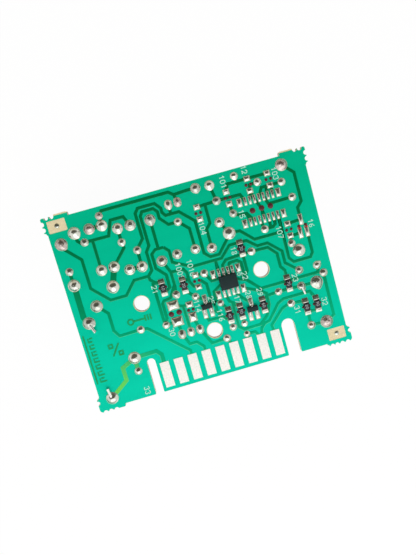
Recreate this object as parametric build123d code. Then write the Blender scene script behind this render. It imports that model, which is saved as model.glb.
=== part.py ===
from build123d import *
import os

os.makedirs("parts", exist_ok=True)

# Dryer control board: a single-sided printed board with an edge connector. The copper side, with its solder
# and its glued surface parts, faces up. The leaded components hang below, and the tallest of them touch the
# surface that the board lies on.
#
# Board coordinates, in millimetres: X and Y start at the lower left corner of the board's clean outline, with
# the edge contacts along Y = 0. Z = 0 is the laminate's copper face, so the components have negative Z.

# ---------------------------------------------------------------- driving dimensions

# laminate
BOARD_LENGTH = 71.12
BOARD_WIDTH = 53.34
BOARD_THICKNESS = 1.6
COMPONENT_FACE = -BOARD_THICKNESS
STAND_HEIGHT = 12.5  # from the component face down to the surface it lies on

# edge connector
CONTACT_COUNT = 9
CONTACT_PITCH = 3.96
CONTACT_WIDTH = 2.5
CONTACT_LENGTH = 7.1
CONTACT_SETBACK = 1.0
TONGUE_MARGIN = 0.92
LEFT_SLOT_WIDTH = 2.3
LEFT_SLOT_DEPTH = 10.1
RIGHT_SLOT_WIDTH = 3.7
RIGHT_SLOT_DEPTH = 10.2
SLOT_MOUTH_RADIUS = 0.3

# locating holes
LOCATING_HOLE_RADIUS = 2.1
UPPER_HOLES_MIDDLE = 35.36
UPPER_HOLES_SPACING = 33.8
UPPER_HOLES_Y = 25.3
LOWER_HOLE_Y = 12.65

# broken perforations left at the four corners, where the board was snapped out of its panel
PERFORATION_DIAMETER = 1.25
SIDE_PERFORATION_OFFSET = 0.78  # centres along the short edges, outside the clean outline
BREAK_DEPTH = 0.8
TAB_DEPTH = 1.1
TAB_BARE_STRIP = 0.4
REMNANT_ROUNDING = 0.45

# layers on the copper face
RESIST_THICKNESS = 0.04
TRACK_THICKNESS = 0.09  # copper foil with its skin of resist
LAND_THICKNESS = 0.12  # copper foil with its tinning
RESIST_HOLE_RELIEF = 0.15
THIN_TRACK = 0.85
WIDE_TRACK = 1.2
BROAD_TRACK = 1.6
SMALLEST_COPPER_PIECE = 0.12  # mm2: less than this between two lands is etched away

# fiducial windows in the resist
WINDOW_LENGTH = 4.9
WINDOW_HEIGHT = 3.3
WINDOW_RADIUS = 0.25
FIDUCIAL_DIAMETER = 1.3
UPPER_WINDOW = (2.97, 51.3)
LOWER_WINDOW = (68.0, 2.28)

# soldered joints
SOLDER_RISE = 0.24  # height of a solder dome for each millimetre of its land
SOLDER_SHOULDER = 0.8  # share of the land's radius
SOLDER_SHOULDER_HEIGHT = 0.55  # share of the dome's height
SOLDER_CROWN = 0.42  # share of the land's radius
LEAD_TIP = 0.05  # how far a straight lead stands out of its solder
DRILL_CLEARANCE = 0.3
OVAL_LAND_WIDTH = 2.05
OVAL_LAND_LENGTH = 2.6
OVAL_DOME_TAPER = 42

# surface parts
CHIP_LENGTH = 3.2
CHIP_WIDTH = 1.6
CHIP_HEIGHT = 0.55
CHIP_CAP = 0.5
CHIP_CAP_SKIN = 0.05
CHIP_LAND_PITCH = 3.3
CHIP_LAND_WIDTH = 1.7
CHIP_LAND_LENGTH = 1.5
SOLDER_PILLOW = 0.28
PILLOW_TAPER = 40
FILLET_HEIGHT = 0.42
TOE_FILLET_REACH = 0.55
TOE_FILLET_HEIGHT = 0.2
FILLET_HOLLOW = 0.35  # where a fillet's slope is deepest, as a share of both its sides
GLUE_DOT_DIAMETER = 0.85
GLUE_DOT_HEIGHT = 0.3
GLUE_SHOULDER = 0.75  # share of the dot's radius
GLUE_SHOULDER_HEIGHT = 0.7  # share of the dot's height
GLUE_DOT_SPREAD = 1.3
GLUE_SQUEEZE_SPREAD = 1.6  # under a fitted chip, where the two dots are pressed outwards

OUTLINE_PIN_PITCH = 1.27
OUTLINE_ROW_PITCH = 5.8
OUTLINE_LAND_WIDTH = 0.75
OUTLINE_LAND_LENGTH = 2.3
THIEF_LAND_WIDTH = 1.35
THIEF_LAND_OFFSET = 1.6
AMPLIFIER_LENGTH = 4.9
AMPLIFIER_WIDTH = 3.9
AMPLIFIER_HEIGHT = 1.5
AMPLIFIER_SPAN = 6.0
AMPLIFIER_LEAD_WIDTH = 0.42

TRANSISTOR_LAND_WIDTH = 1.2
TRANSISTOR_LAND_LENGTH = 3.0
TRANSISTOR_LAND_PITCH = 3.5
TRANSISTOR_LEG_SPACING = 1.9
TRANSISTOR_LENGTH = 2.95
TRANSISTOR_WIDTH = 1.4
TRANSISTOR_HEIGHT = 1.0
TRANSISTOR_SPAN = 2.6
TRANSISTOR_LEAD_WIDTH = 0.45

LEAD_SHEET = 0.15
LEAD_ROOT = 0.25  # length moulded in
LEAD_KNEE = 0.45  # where the lead bends down, as a share of its way from the body to the toe
LEAD_RAMP = 0.2
BODY_STANDOFF = 0.2  # underside of a moulded body above the laminate
BODY_DRAFT = 7

# leaded parts
STOUT_LEAD = 0.8
THIN_LEAD = 0.6
LEAD_BEND = 1.0
SEATING_GAP = 0.25  # between the component face and a body that lies on it

DROPPER_DIAMETER = 5.2
DROPPER_LENGTH = 15.0
DROPPER_CAP = 2.2
DROPPER_WAIST = 0.25
KINK_DEPTH = 1.6
KINK_HEIGHT = 1.1
KINK_REACH = 1.0

DIODE_DIAMETER = 2.7
DIODE_LENGTH = 5.2
DIODE_CHAMFER = 0.2
HALF_WATT_DIAMETER = 3.2
HALF_WATT_LENGTH = 9.0
QUARTER_WATT_DIAMETER = 2.4
QUARTER_WATT_LENGTH = 6.3
RESISTOR_WAIST = 0.25
RESISTOR_CAP_SHARE = 0.24
WAIST_RAMP = 0.4
CAP_TIP = 0.58  # radius of a cap's flat end, as a share of the cap's
CAP_ROUNDING = 0.45  # length over which the cap widens from it, as a share of the same radius

MAIN_CAPACITOR_DIAMETER = 10.0
MAIN_CAPACITOR_HEIGHT = 12.5
SMALL_CAPACITOR_DIAMETER = 6.3
SMALL_CAPACITOR_HEIGHT = 11.5
SLEEVE_WALL = 0.12
BUNG_INSET = 0.7
BUNG_THICKNESS = 1.4
CAN_LIP = 0.35
CAN_SHOULDER = 0.6
SLEEVE_FOLD = 0.7
CRIMP_DEPTH = 0.35
CRIMP_WIDTH = 1.0
VENT_LENGTH = 0.75  # share of the can's diameter
VENT_WIDTH = 0.35
VENT_DEPTH = 0.15

DISC_DIAMETER = 9.4
DISC_THICKNESS = 3.2
DISC_RIM = 1.1
DISC_FLAT_SHARE = 0.62
DISC_NECK = 1.9
DISC_NECK_START = 0.66
DISC_NECK_SKIN = 0.12
DISC_LEAD_DEPTH = 4.5

OUTPUT_RADIUS = 2.35
OUTPUT_FLAT = 1.35
OUTPUT_HEIGHT = 4.7
OUTPUT_STANDOFF = 4.2
OUTPUT_LEG_WIDTH = 0.45
OUTPUT_LEG_THICKNESS = 0.4
OUTPUT_LEG_SPACING = 1.27
OUTPUT_HOLE_SPACING = 2.54
OUTPUT_SPREAD_START = 0.75  # where the legs start to spread and where they end, as shares of the standoff
OUTPUT_SPREAD_END = 0.25

# ---------------------------------------------------------------- where the parts stand

# Axial parts lie along Y: X of the axis, Y of the middle, hole spacing, diameter of the lands.
AXIAL_PARTS = {
    "dropper_resistor_1": (6.72, 38.1, 20.32, 3.3),
    "dropper_resistor_2": (12.4, 21.65, 20.32, 3.4),
    "dropper_resistor_3": (3.45, 13.25, 21.6, 3.4),
    "load_resistor": (66.1, 12.05, 11.43, 3.5),
    "input_resistor": (2.6, 40.6, 11.43, 3.3),
    "series_resistor": (40.8, 42.85, 16.51, 2.7),
    "bias_resistor": (44.6, 45.75, 10.16, 2.65),
    "sense_resistor": (61.7, 12.2, 11.43, 2.25),
    "bridge_diode_1": (10.78, 42.55, 11.43, 2.95),
    "bridge_diode_2": (14.22, 42.55, 11.43, 3.0),
    "bridge_diode_3": (18.0, 40.7, 11.43, 2.85),
    "bridge_diode_4": (21.43, 40.6, 11.43, 2.95),
    "zener_diode": (26.9, 40.6, 11.43, 2.9),
}

# Radial parts stand on two leads in a row along X: X and Y of the middle, hole spacing, diameter of lands.
RADIAL_PARTS = {
    "main_capacitor": (33.9, 35.55, 5.08, 2.6),
    "small_capacitor": (33.95, 48.85, 2.54, OVAL_LAND_WIDTH),
    "disc_capacitor": (64.8, 22.3, 5.08, 2.2),
}
OUTPUT_TRANSISTOR = (29.2, 14.1)

# Leads whose ends were bent over on the copper side: end of the part, direction and length of the bent end.
CLINCHED_ENDS = {
    "dropper_resistor_3.a": ((0.35, -1), 2.9),
    "dropper_resistor_3.b": ((-0.15, 1), 3.0),
    "sense_resistor.a": ((0.2, -1), 2.4),
}

# The three holes for a sounder that this version of the board leaves out.
EMPTY_HOLES = {
    "sounder_1": (46.35, 37.2, 3.4),
    "sounder_2": (64.65, 51.0, 3.3),
    "sounder_3": (63.6, 27.6, 3.4),
}

# Round test points for the factory's bed of nails.
TEST_POINTS = {
    "test_1": (8.6, 45.2, 2.1),
    "test_2": (14.25, 50.9, 2.0),
    "test_3": (18.0, 42.6, 2.1),
    "test_4": (21.4, 39.5, 2.1),
    "test_5": (2.5, 38.8, 2.1),
    "test_6": (16.2, 18.5, 2.1),
    "test_7": (12.4, 7.65, 2.1),
    "test_8": (51.6, 51.5, 2.1),
    "test_9": (45.35, 46.4, 2.2),
    "test_10": (33.9, 43.8, 2.1),
    "test_11": (48.8, 42.0, 2.1),
    "test_12": (57.25, 48.3, 2.1),
    "test_13": (63.6, 46.65, 2.1),
    "test_14": (65.4, 42.0, 2.1),
    "test_15": (56.0, 35.6, 2.1),
    "test_16": (62.1, 29.95, 2.05),
    "test_17": (50.9, 30.8, 2.15),
    "test_18": (36.95, 28.6, 2.1),
    "test_19": (33.0, 23.1, 2.0),
    "test_20": (28.1, 25.1, 2.1),
    "test_21": (23.2, 17.8, 2.0),
    "test_22": (38.2, 9.6, 2.1),
    "test_23": (43.8, 9.2, 1.75),
    "test_24": (40.65, 12.1, 2.0),
    "test_25": (43.9, 12.2, 1.8),
    "test_26": (39.1, 19.5, 1.75),
    "test_27": (55.25, 18.1, 2.0),
    "test_28": (57.8, 14.0, 2.1),
    "test_29": (68.6, 19.8, 2.2),
}

# Chip resistors, all lying along Y, and the same footprints where no chip is fitted.
CHIPS = {
    "chip_resistor_1": (25.15, 27.9),
    "chip_resistor_2": (30.75, 27.0),
    "chip_resistor_3": (48.4, 32.4),
    "chip_resistor_4": (40.6, 15.6),
    "chip_resistor_5": (43.9, 15.8),
    "chip_resistor_6": (50.3, 15.8),
    "chip_resistor_7": (58.4, 19.65),
    "chip_resistor_8": (61.65, 12.0),
    "chip_resistor_9": (64.75, 12.0),
}
EMPTY_CHIPS = {
    "empty_chip_1": (39.8, 44.55),
    "empty_chip_2": (48.45, 46.35),
    "empty_chip_3": (54.75, 48.25),
    "empty_chip_4": (60.35, 48.25),
    "empty_chip_5": (62.3, 33.7),
    "empty_chip_6": (34.5, 27.1),
}

# Two larger empty footprints: X, Y of the upper land, its size, Y of the lower land, its size, dot diameter,
# dot spread.
LARGE_FOOTPRINTS = {
    "large_1": (26.45, 22.5, (3.1, 2.5), 17.9, (3.1, 2.6), 1.5, 2.2),
    "large_2": (30.8, 21.5, (1.9, 1.7), 17.95, (2.15, 2.6), 0.9, 1.3),
}

TRANSISTORS = {"transistor_1": (35.2, 19.75), "transistor_2": (47.1, 15.6)}
EMPTY_TRANSISTOR = (66.1, 33.8)
AMPLIFIER = (42.7, 24.65)
AMPLIFIER_PINS = 4  # in each row
EMPTY_PACKAGE = (56.6, 41.3)
EMPTY_PACKAGE_PINS = 7  # in each row
EMPTY_PACKAGE_DOTS = (-2.55, 0, 2.45)
PACKAGE_DOT_DIAMETER = 1.55

# Corner remnants: length along the long edge, how far outside it the perforations are centred, the
# perforations along it, those along the short edge (the last of them ends the remnant), where a tab of whole
# laminate starts, and the rounding of the remnant's corner. All places are measured from the board's corner.
CORNERS = {
    (0, 1): (6.5, 0.68, (0.75, 2.2), (0.8, 2.35, 3.85), 2.7, 0.45),
    (1, 1): (6.4, 0.68, (0.65, 1.98), (0.9, 2.5, 4.0), 2.65, 0.45),
    (0, 0): (6.4, 1.0, (0.7, 2.2, 3.75), (1.95, 3.5), None, 0.9),
    (1, 0): (6.4, 0.95, (0.55, 2.15, 3.65, 5.0, 6.4), (2.05, 3.6), None, 0.9),
}

# ---------------------------------------------------------------- named points on the copper face

points = {}
lands = []  # (X, Y, width, length, whether a part's terminal is soldered to it) of every rectangular land
round_lands = {}  # name: (X, Y, diameter)
for name, (x, y, spacing, diameter) in AXIAL_PARTS.items():
    for end, side in (("a", 1), ("b", -1)):
        round_lands[f"{name}.{end}"] = (x, y + side * spacing / 2, diameter)
for name, (x, y, spacing, diameter) in RADIAL_PARTS.items():
    for end, side in (("a", -1), ("b", 1)):
        round_lands[f"{name}.{end}"] = (x + side * spacing / 2, y, diameter)
for leg in (-1, 0, 1):
    name = f"output.{leg + 2}"
    x = OUTPUT_TRANSISTOR[0] + leg * OUTPUT_HOLE_SPACING
    round_lands[name] = (x, OUTPUT_TRANSISTOR[1], OVAL_LAND_WIDTH)
round_lands.update(EMPTY_HOLES)
round_lands.update(TEST_POINTS)
oval_lands = {name for name in round_lands if name.startswith(("small_capacitor", "output"))}

for name, (x, y) in {**CHIPS, **EMPTY_CHIPS}.items():
    for end, side in (("a", 1), ("b", -1)):
        points[f"{name}.{end}"] = (x, y + side * CHIP_LAND_PITCH / 2)
        lands.append((x, y + side * CHIP_LAND_PITCH / 2, CHIP_LAND_WIDTH, CHIP_LAND_LENGTH, name in CHIPS))
for name, (x, upper, upper_size, lower, lower_size, _, _) in LARGE_FOOTPRINTS.items():
    points[f"{name}.a"] = (x, upper)
    points[f"{name}.b"] = (x, lower)
    lands.append((x, upper, *upper_size, False))
    lands.append((x, lower, *lower_size, False))


def transistor_lands(x, y):
    """The single leg's land above and the pair of lands below, as (X, Y) points."""
    half_pitch, half_spacing = TRANSISTOR_LAND_PITCH / 2, TRANSISTOR_LEG_SPACING / 2
    return [(x, y + half_pitch), (x - half_spacing, y - half_pitch), (x + half_spacing, y - half_pitch)]


def package_lands(x, y, pins):
    """Both rows of a small-outline footprint as (X, Y, width): the pins and the wide lands at the ends."""
    first = x - (pins - 1) * OUTLINE_PIN_PITCH / 2
    last = x + (pins - 1) * OUTLINE_PIN_PITCH / 2
    found = []
    for row in (y + OUTLINE_ROW_PITCH / 2, y - OUTLINE_ROW_PITCH / 2):
        found.append((first - THIEF_LAND_OFFSET, row, THIEF_LAND_WIDTH))
        for pin in range(pins):
            found.append((first + pin * OUTLINE_PIN_PITCH, row, OUTLINE_LAND_WIDTH))
        found.append((last + THIEF_LAND_OFFSET, row, THIEF_LAND_WIDTH))
    return found


for name, middle in {**TRANSISTORS, "empty_transistor": EMPTY_TRANSISTOR}.items():
    for leg, (x, y) in enumerate(transistor_lands(*middle), start=1):
        points[f"{name}.{leg}"] = (x, y)
        lands.append((x, y, TRANSISTOR_LAND_WIDTH, TRANSISTOR_LAND_LENGTH, name in TRANSISTORS))
for name, middle, pins in (
    ("amplifier", AMPLIFIER, AMPLIFIER_PINS),
    ("package", EMPTY_PACKAGE, EMPTY_PACKAGE_PINS),
):
    for number, (x, y, width) in enumerate(package_lands(*middle, pins)):
        row, place = ("top", number) if number < pins + 2 else ("low", number - pins - 2)
        points[f"{name}.{row}_{place}"] = (x, y)
        has_pin = name == "amplifier" and width == OUTLINE_LAND_WIDTH
        lands.append((x, y, width, OUTLINE_LAND_LENGTH, has_pin))

TONGUE_MIDDLE = BOARD_LENGTH / 2
CONTACT_TOP = CONTACT_SETBACK + CONTACT_LENGTH
for number in range(CONTACT_COUNT):
    x = TONGUE_MIDDLE + (number - (CONTACT_COUNT - 1) / 2) * CONTACT_PITCH
    points[f"contact_{number + 1}"] = (x, CONTACT_TOP - CONTACT_WIDTH / 2)
points.update({name: (x, y) for name, (x, y, _) in round_lands.items()})

# ---------------------------------------------------------------- copper tracks

# Each track is its width and the points it runs through: a named land, or a bend at (X, Y).
TRACKS = [
    # mains input, along the left edge
    (THIN_TRACK, "test_5", "input_resistor.b"),
    (BROAD_TRACK, "input_resistor.b", (2.5, 25.8), "dropper_resistor_3.a"),
    (BROAD_TRACK, "bridge_diode_2.b", "dropper_resistor_2.a"),
    (WIDE_TRACK, "dropper_resistor_2.b", (18.6, 11.6), (19.72, 10.3), "contact_1"),
    (WIDE_TRACK, "dropper_resistor_2.b", (8.6, 9.7), (8.6, 6.1), "dropper_resistor_3.b"),
    (WIDE_TRACK, "dropper_resistor_2.b", "test_7"),
    (THIN_TRACK, "dropper_resistor_1.b", (9.2, 25.2), (9.2, 20.2), (10.3, 18.4), "test_6"),
    (THIN_TRACK, "test_6", (18.0, 18.3), (27.6, 9.2), "contact_3"),
    (THIN_TRACK, "input_resistor.a", (2.8, 45.0), (6.6, 41.0), (6.6, 32.9), (10.8, 28.5), (15.2, 28.5),
     (18.3, 31.9), (22.3, 31.9)),
    # rectifier
    (WIDE_TRACK, "bridge_diode_1.a", "bridge_diode_2.a", "test_2"),
    (THIN_TRACK, "test_2", (15.2, 52.0), (33.5, 52.0), (34.8, 51.0), (38.6, 51.2), "series_resistor.a"),
    (THIN_TRACK, (34.8, 51.0), "small_capacitor.b"),
    (THIN_TRACK, "dropper_resistor_1.a", (6.9, 46.0), (7.8, 45.1), "test_1", (15.2, 45.1), (16.8, 49.0),
     (20.3, 49.0), "bridge_diode_4.a"),
    (THIN_TRACK, (10.78, 45.1), "bridge_diode_1.b"),
    (THIN_TRACK, "bridge_diode_3.a", "test_3", (18.2, 41.0), "bridge_diode_2.b"),
    (WIDE_TRACK, "bridge_diode_3.b", "bridge_diode_4.b"),
    (THIN_TRACK, "bridge_diode_4.b", "test_4"),
    (THIN_TRACK, "test_4", (22.3, 40.6), (23.6, 42.0), (23.6, 48.9), (24.6, 50.1), (29.2, 50.1), (30.5, 48.5),
     (30.5, 47.3), (31.2, 46.3), (34.9, 46.3), (38.4, 42.8), (38.4, 33.8), (39.8, 32.4), (42.3, 32.4),
     (45.3, 35.7), "sounder_1"),
    (THIN_TRACK, "small_capacitor.a", (32.7, 46.3)),
    # regulator
    (THIN_TRACK, (22.3, 31.9), (23.6, 33.2), (23.6, 38.3), (24.7, 39.8), (24.7, 47.8), (25.4, 48.9),
     (28.5, 48.9), (29.4, 47.8), (29.4, 46.0), (31.3, 43.8), "test_10", (36.4, 41.3), "main_capacitor.b"),
    (THIN_TRACK, (22.3, 31.9), (22.4, 30.9), (23.7, 29.6), "chip_resistor_1.a"),
    (THIN_TRACK, "zener_diode.a", (26.9, 38.3)),
    (THIN_TRACK, (28.3, 38.3), (26.0, 38.3), (24.8, 37.3), (24.8, 33.4), (27.0, 31.0), (27.0, 27.4),
     "chip_resistor_1.b"),
    (THIN_TRACK, (28.3, 38.3), (29.5, 37.0), (29.5, 33.8), (32.3, 32.3), (34.0, 31.2), (42.6, 31.2),
     (45.5, 34.0), "chip_resistor_3.a"),
    (THIN_TRACK, (40.8, 31.2), "amplifier.top_1"),
    (THIN_TRACK, "zener_diode.b", (28.4, 31.3), (28.4, 27.8), (26.4, 24.6), (24.4, 24.3), (23.9, 23.6),
     (23.9, 19.4), "test_21"),
    (THIN_TRACK, (28.4, 31.3), (31.8, 31.2), (32.5, 30.0), (32.5, 27.5), (33.3, 25.9), "empty_chip_6.b"),
    (THIN_TRACK, (28.4, 27.6), "test_20"),
    # sensor amplifier
    (THIN_TRACK, "chip_resistor_3.a", (50.3, 34.0), (52.8, 31.8), (55.7, 31.8), (59.0, 28.6), (59.0, 25.2),
     "disc_capacitor.a"),
    (THIN_TRACK, "test_17", (55.5, 30.6), (57.5, 28.3), (57.5, 24.6), (58.4, 23.4), "chip_resistor_7.a"),
    (THIN_TRACK, "chip_resistor_3.b", "test_17"),
    (THIN_TRACK, "chip_resistor_3.b", (43.6, 30.5), (42.4, 29.4), "amplifier.top_2"),
    (THIN_TRACK, "amplifier.top_3", (44.3, 29.4), (46.4, 29.5), (47.4, 28.7), (47.4, 26.0), (46.5, 24.6)),
    (THIN_TRACK, "chip_resistor_3.b", (48.4, 26.0), (46.9, 24.0)),
    (THIN_TRACK, (44.8, 24.9), (46.2, 24.2), (47.6, 23.7), (50.8, 20.3), (67.2, 20.3), "test_29"),
    (THIN_TRACK, "disc_capacitor.b", (67.2, 20.3)),
    (THIN_TRACK, "amplifier.low_5", (49.3, 20.3), (51.9, 18.6), (51.9, 15.4), (50.6, 12.7), (48.2, 10.7),
     (43.4, 10.6), (42.2, 11.7), (42.2, 18.0), "chip_resistor_5.a"),
    (THIN_TRACK, (51.9, 17.9), "test_27", "chip_resistor_7.b", "sense_resistor.a", "load_resistor.a"),
    (THIN_TRACK, "test_18", (38.4, 26.0), (40.6, 26.0)),
    (THIN_TRACK, (40.8, 24.6), (38.2, 23.0), (38.0, 20.4), "test_26"),
    (THIN_TRACK, "empty_chip_6.a", "test_18"),
    (THIN_TRACK, (35.4, 27.1), (36.8, 25.6), (36.8, 21.0), (37.6, 19.0), (37.6, 17.4)),
    (THIN_TRACK, "chip_resistor_2.b", "test_19", "transistor_1.1"),
    (THIN_TRACK, "chip_resistor_2.a", (32.5, 28.0)),
    (THIN_TRACK, "large_1.a", (29.0, 21.5), "large_2.a"),
    (THIN_TRACK, (29.0, 21.5), "output.2"),
    (THIN_TRACK, "test_21", "large_1.b", "output.1"),
    (THIN_TRACK, "large_2.b", "output.3"),
    (THIN_TRACK, "transistor_1.2", (34.8, 15.7), (38.6, 15.7), "chip_resistor_4.b"),
    (THIN_TRACK, "transistor_1.3", (37.6, 17.4), (38.6, 15.7)),
    (THIN_TRACK, (22.9, 29.9), (22.9, 19.0), "test_21"),
    (THIN_TRACK, "amplifier.low_1", (41.6, 19.2), "chip_resistor_5.a"),
    (THIN_TRACK, "amplifier.low_3", (45.4, 19.0), "transistor_2.1"),
    (THIN_TRACK, "chip_resistor_4.b", "test_24"),
    (THIN_TRACK, "chip_resistor_5.b", "test_25"),
    (THIN_TRACK, "chip_resistor_4.a", "test_26"),
    (THIN_TRACK, "chip_resistor_6.a", (51.9, 17.5)),
    # to the edge contacts
    (THIN_TRACK, "output.1", (28.0, 10.9), (29.9, 10.9), (31.5, 9.2), "contact_4"),
    (THIN_TRACK, "output.3", (33.9, 9.4), "test_22", "contact_6"),
    (WIDE_TRACK, "test_23", "contact_7"),
    (THIN_TRACK, "test_23", (46.2, 9.1), "contact_8"),
    (THIN_TRACK, "contact_8", (48.2, 9.6), (49.4, 10.7), (50.8, 11.0), (54.3, 15.0), (56.0, 15.8),
     (63.6, 15.8), "chip_resistor_9.a"),
    (THIN_TRACK, "contact_9", (51.1, 9.6), (54.9, 13.2), (56.3, 13.8), "test_28", "chip_resistor_8.a"),
    (THIN_TRACK, "chip_resistor_8.b", "chip_resistor_9.b"),
    (THIN_TRACK, "chip_resistor_8.b", "sense_resistor.b", "load_resistor.b"),
    (THIN_TRACK, "test_29", (68.5, 15.0), (68.5, 7.6), "load_resistor.b"),
    # timer, whose parts are not fitted
    (THIN_TRACK, "sounder_2", (67.5, 48.2), (67.5, 40.3), (66.1, 38.8), "empty_transistor.1"),
    (THIN_TRACK, "empty_transistor.1", "empty_chip_5.a"),
    (THIN_TRACK, "empty_transistor.2", (63.0, 31.9), "empty_chip_5.b", "test_16", "sounder_3"),
    (THIN_TRACK, "empty_transistor.3", (67.0, 26.0), (66.2, 24.9), (61.4, 24.9), (60.35, 26.2),
     "package.low_7"),
    (THIN_TRACK, "bias_resistor.b", "sounder_1"),
    (THIN_TRACK, "sounder_1", (49.3, 37.0), (52.6, 33.7), (60.4, 33.7)),
    (THIN_TRACK, "empty_chip_1.a", "test_9", (51.9, 46.3), "package.top_1"),
    (THIN_TRACK, "bias_resistor.a", "test_9"),
    (THIN_TRACK, (42.1, 46.3), (42.1, 41.2), (40.8, 39.8), "series_resistor.b"),
    (THIN_TRACK, "empty_chip_2.a", (49.3, 49.9), (60.35, 49.9)),
    (THIN_TRACK, "empty_chip_2.b", "test_11", (50.3, 41.1), (52.3, 41.0), "package.low_1"),
    (THIN_TRACK, (52.3, 41.0), "package.low_2"),
    (THIN_TRACK, "package.top_3", (56.6, 41.2), "package.low_4"),
    (THIN_TRACK, "package.top_5", (58.7, 41.9), "test_14"),
    (THIN_TRACK, "package.low_3", "test_15"),
    (THIN_TRACK, "package.low_5", (57.7, 35.6), "test_15"),
    (THIN_TRACK, "package.low_6", (59.1, 36.2), (58.3, 35.6), (57.7, 35.6)),
    (THIN_TRACK, "empty_chip_3.b", "package.top_2"),
    (THIN_TRACK, "empty_chip_3.b", "package.top_3"),
    (THIN_TRACK, "test_12", (55.0, 48.1), "empty_chip_3.b"),
    (THIN_TRACK, "test_13", (57.9, 46.6), "package.top_4"),
    (THIN_TRACK, "package.top_6", (59.2, 46.6)),
    (THIN_TRACK, "package.top_7", (60.4, 46.6)),
]


def run_of(track):
    """The track's points in order, with land names looked up."""
    return [Vector(*(points[step] if isinstance(step, str) else step)) for step in track]


def mitred_strip(run, width):
    """A flat strip of one width that follows the run, with mitred bends."""
    left, right = [], []
    for place, here in enumerate(run):
        normals = []
        if place > 0:
            normals.append((here - run[place - 1]).normalized().rotate(Axis.Z, 90))
        if place < len(run) - 1:
            normals.append((run[place + 1] - here).normalized().rotate(Axis.Z, 90))
        mitre = normals[0]
        if len(normals) == 2:
            mitre = (normals[0] + normals[1]) * (1 / (1 + normals[0].dot(normals[1])))
        left.append(here + mitre * (width / 2))
        right.append(here - mitre * (width / 2))
    return Polygon(*left, *reversed(right), align=None)


def upward(sketch, bottom, thickness):
    """The sketch as a layer of solids from the bottom height up."""
    return extrude(Pos(0, 0, bottom) * sketch, amount=thickness, dir=(0, 0, 1))


# ---------------------------------------------------------------- plan of the board


def corner_waste(x, y, sign_x, sign_y, radius):
    """What rounding takes off a square corner at X, Y that points along the two signs."""
    square = Pos(x - sign_x * radius / 2, y - sign_y * radius / 2) * Rectangle(radius, radius)
    return square - Pos(x - sign_x * radius, y - sign_y * radius) * Circle(radius)


def corner_remnant(across, up, length, offset, holes_x, holes_y, tab_start, rounding):
    """What is left outside the clean outline at one corner: broken webs between half perforations."""
    sign_x, sign_y = (1 if across else -1), (1 if up else -1)
    corner = Pos(across * BOARD_LENGTH, up * BOARD_WIDTH)

    def block(x_from, x_to, y_from, y_to):
        middle = Pos(sign_x * (x_from + x_to) / 2, sign_y * (y_from + y_to) / 2)
        return corner * middle * Rectangle(abs(x_to - x_from), abs(y_to - y_from))

    strips = [block(BREAK_DEPTH, -length, BREAK_DEPTH, -BREAK_DEPTH)]
    strips.append(block(BREAK_DEPTH, -BREAK_DEPTH, BREAK_DEPTH, -holes_y[-1]))
    if tab_start:
        strips.append(block(-tab_start, -length, TAB_DEPTH, -BREAK_DEPTH))
    holes = [(-along, offset) for along in holes_x]
    holes += [(SIDE_PERFORATION_OFFSET, -along) for along in holes_y]
    lost = [
        corner * Pos(sign_x * x, sign_y * y) * Circle(PERFORATION_DIAMETER / 2)
        for x, y in holes
    ]
    depth = TAB_DEPTH if tab_start else BREAK_DEPTH
    lost.append(corner * corner_waste(sign_x * BREAK_DEPTH, sign_y * BREAK_DEPTH, sign_x, sign_y, rounding))
    lost.append(corner * corner_waste(-sign_x * length, sign_y * depth, -sign_x, sign_y, REMNANT_ROUNDING))
    bare = []
    if tab_start:
        bare_from = -tab_start + PERFORATION_DIAMETER / 2
        bare.append(block(bare_from, -length - 1, TAB_DEPTH + 1, TAB_DEPTH - TAB_BARE_STRIP))
        tab_waste = corner_waste(-sign_x * tab_start, sign_y * depth, sign_x, sign_y, REMNANT_ROUNDING)
        lost.append(corner * tab_waste)
    return strips, lost, bare


def slot(edge_x, side, width, depth):
    """A slot beside the tongue, round at its inner end and eased at its mouth."""
    middle = edge_x + side * width / 2
    straight = depth - width / 2
    cut = Pos(middle, straight / 2 - 1) * Rectangle(width, straight + 2)
    cut += Pos(middle, straight) * Circle(width / 2)
    for mouth_side in (-1, 1):
        cut += corner_waste(middle + mouth_side * width / 2, 0, -mouth_side, -1, SLOT_MOUTH_RADIUS)
    return cut


def locating_holes(relief=0.0):
    """The three locating holes in plan, made larger by the relief."""
    half = UPPER_HOLES_SPACING / 2
    middles = [
        (UPPER_HOLES_MIDDLE - half, UPPER_HOLES_Y),
        (UPPER_HOLES_MIDDLE + half, UPPER_HOLES_Y),
        (TONGUE_MIDDLE, LOWER_HOLE_Y),
    ]
    return [Pos(*middle) * Circle(LOCATING_HOLE_RADIUS + relief) for middle in middles]


clean_outline = Pos(BOARD_LENGTH / 2, BOARD_WIDTH / 2) * Rectangle(BOARD_LENGTH, BOARD_WIDTH)
remnants = [corner_remnant(*corner, *sizes) for corner, sizes in CORNERS.items()]
tongue_half = ((CONTACT_COUNT - 1) * CONTACT_PITCH + CONTACT_WIDTH) / 2 + TONGUE_MARGIN
slots = [
    slot(TONGUE_MIDDLE - tongue_half, -1, LEFT_SLOT_WIDTH, LEFT_SLOT_DEPTH),
    slot(TONGUE_MIDDLE + tongue_half, 1, RIGHT_SLOT_WIDTH, RIGHT_SLOT_DEPTH),
]
outline = clean_outline + [strip for strips, _, _ in remnants for strip in strips]
outline -= [piece for _, lost, _ in remnants for piece in lost]
outline -= slots


def land_shape(name):
    """A round or oval land in plan."""
    x, y, diameter = round_lands[name]
    if name in oval_lands:
        return Pos(x, y) * Rot(Z=90) * SlotOverall(OVAL_LAND_LENGTH, diameter)
    return Pos(x, y) * Circle(diameter / 2)


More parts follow.
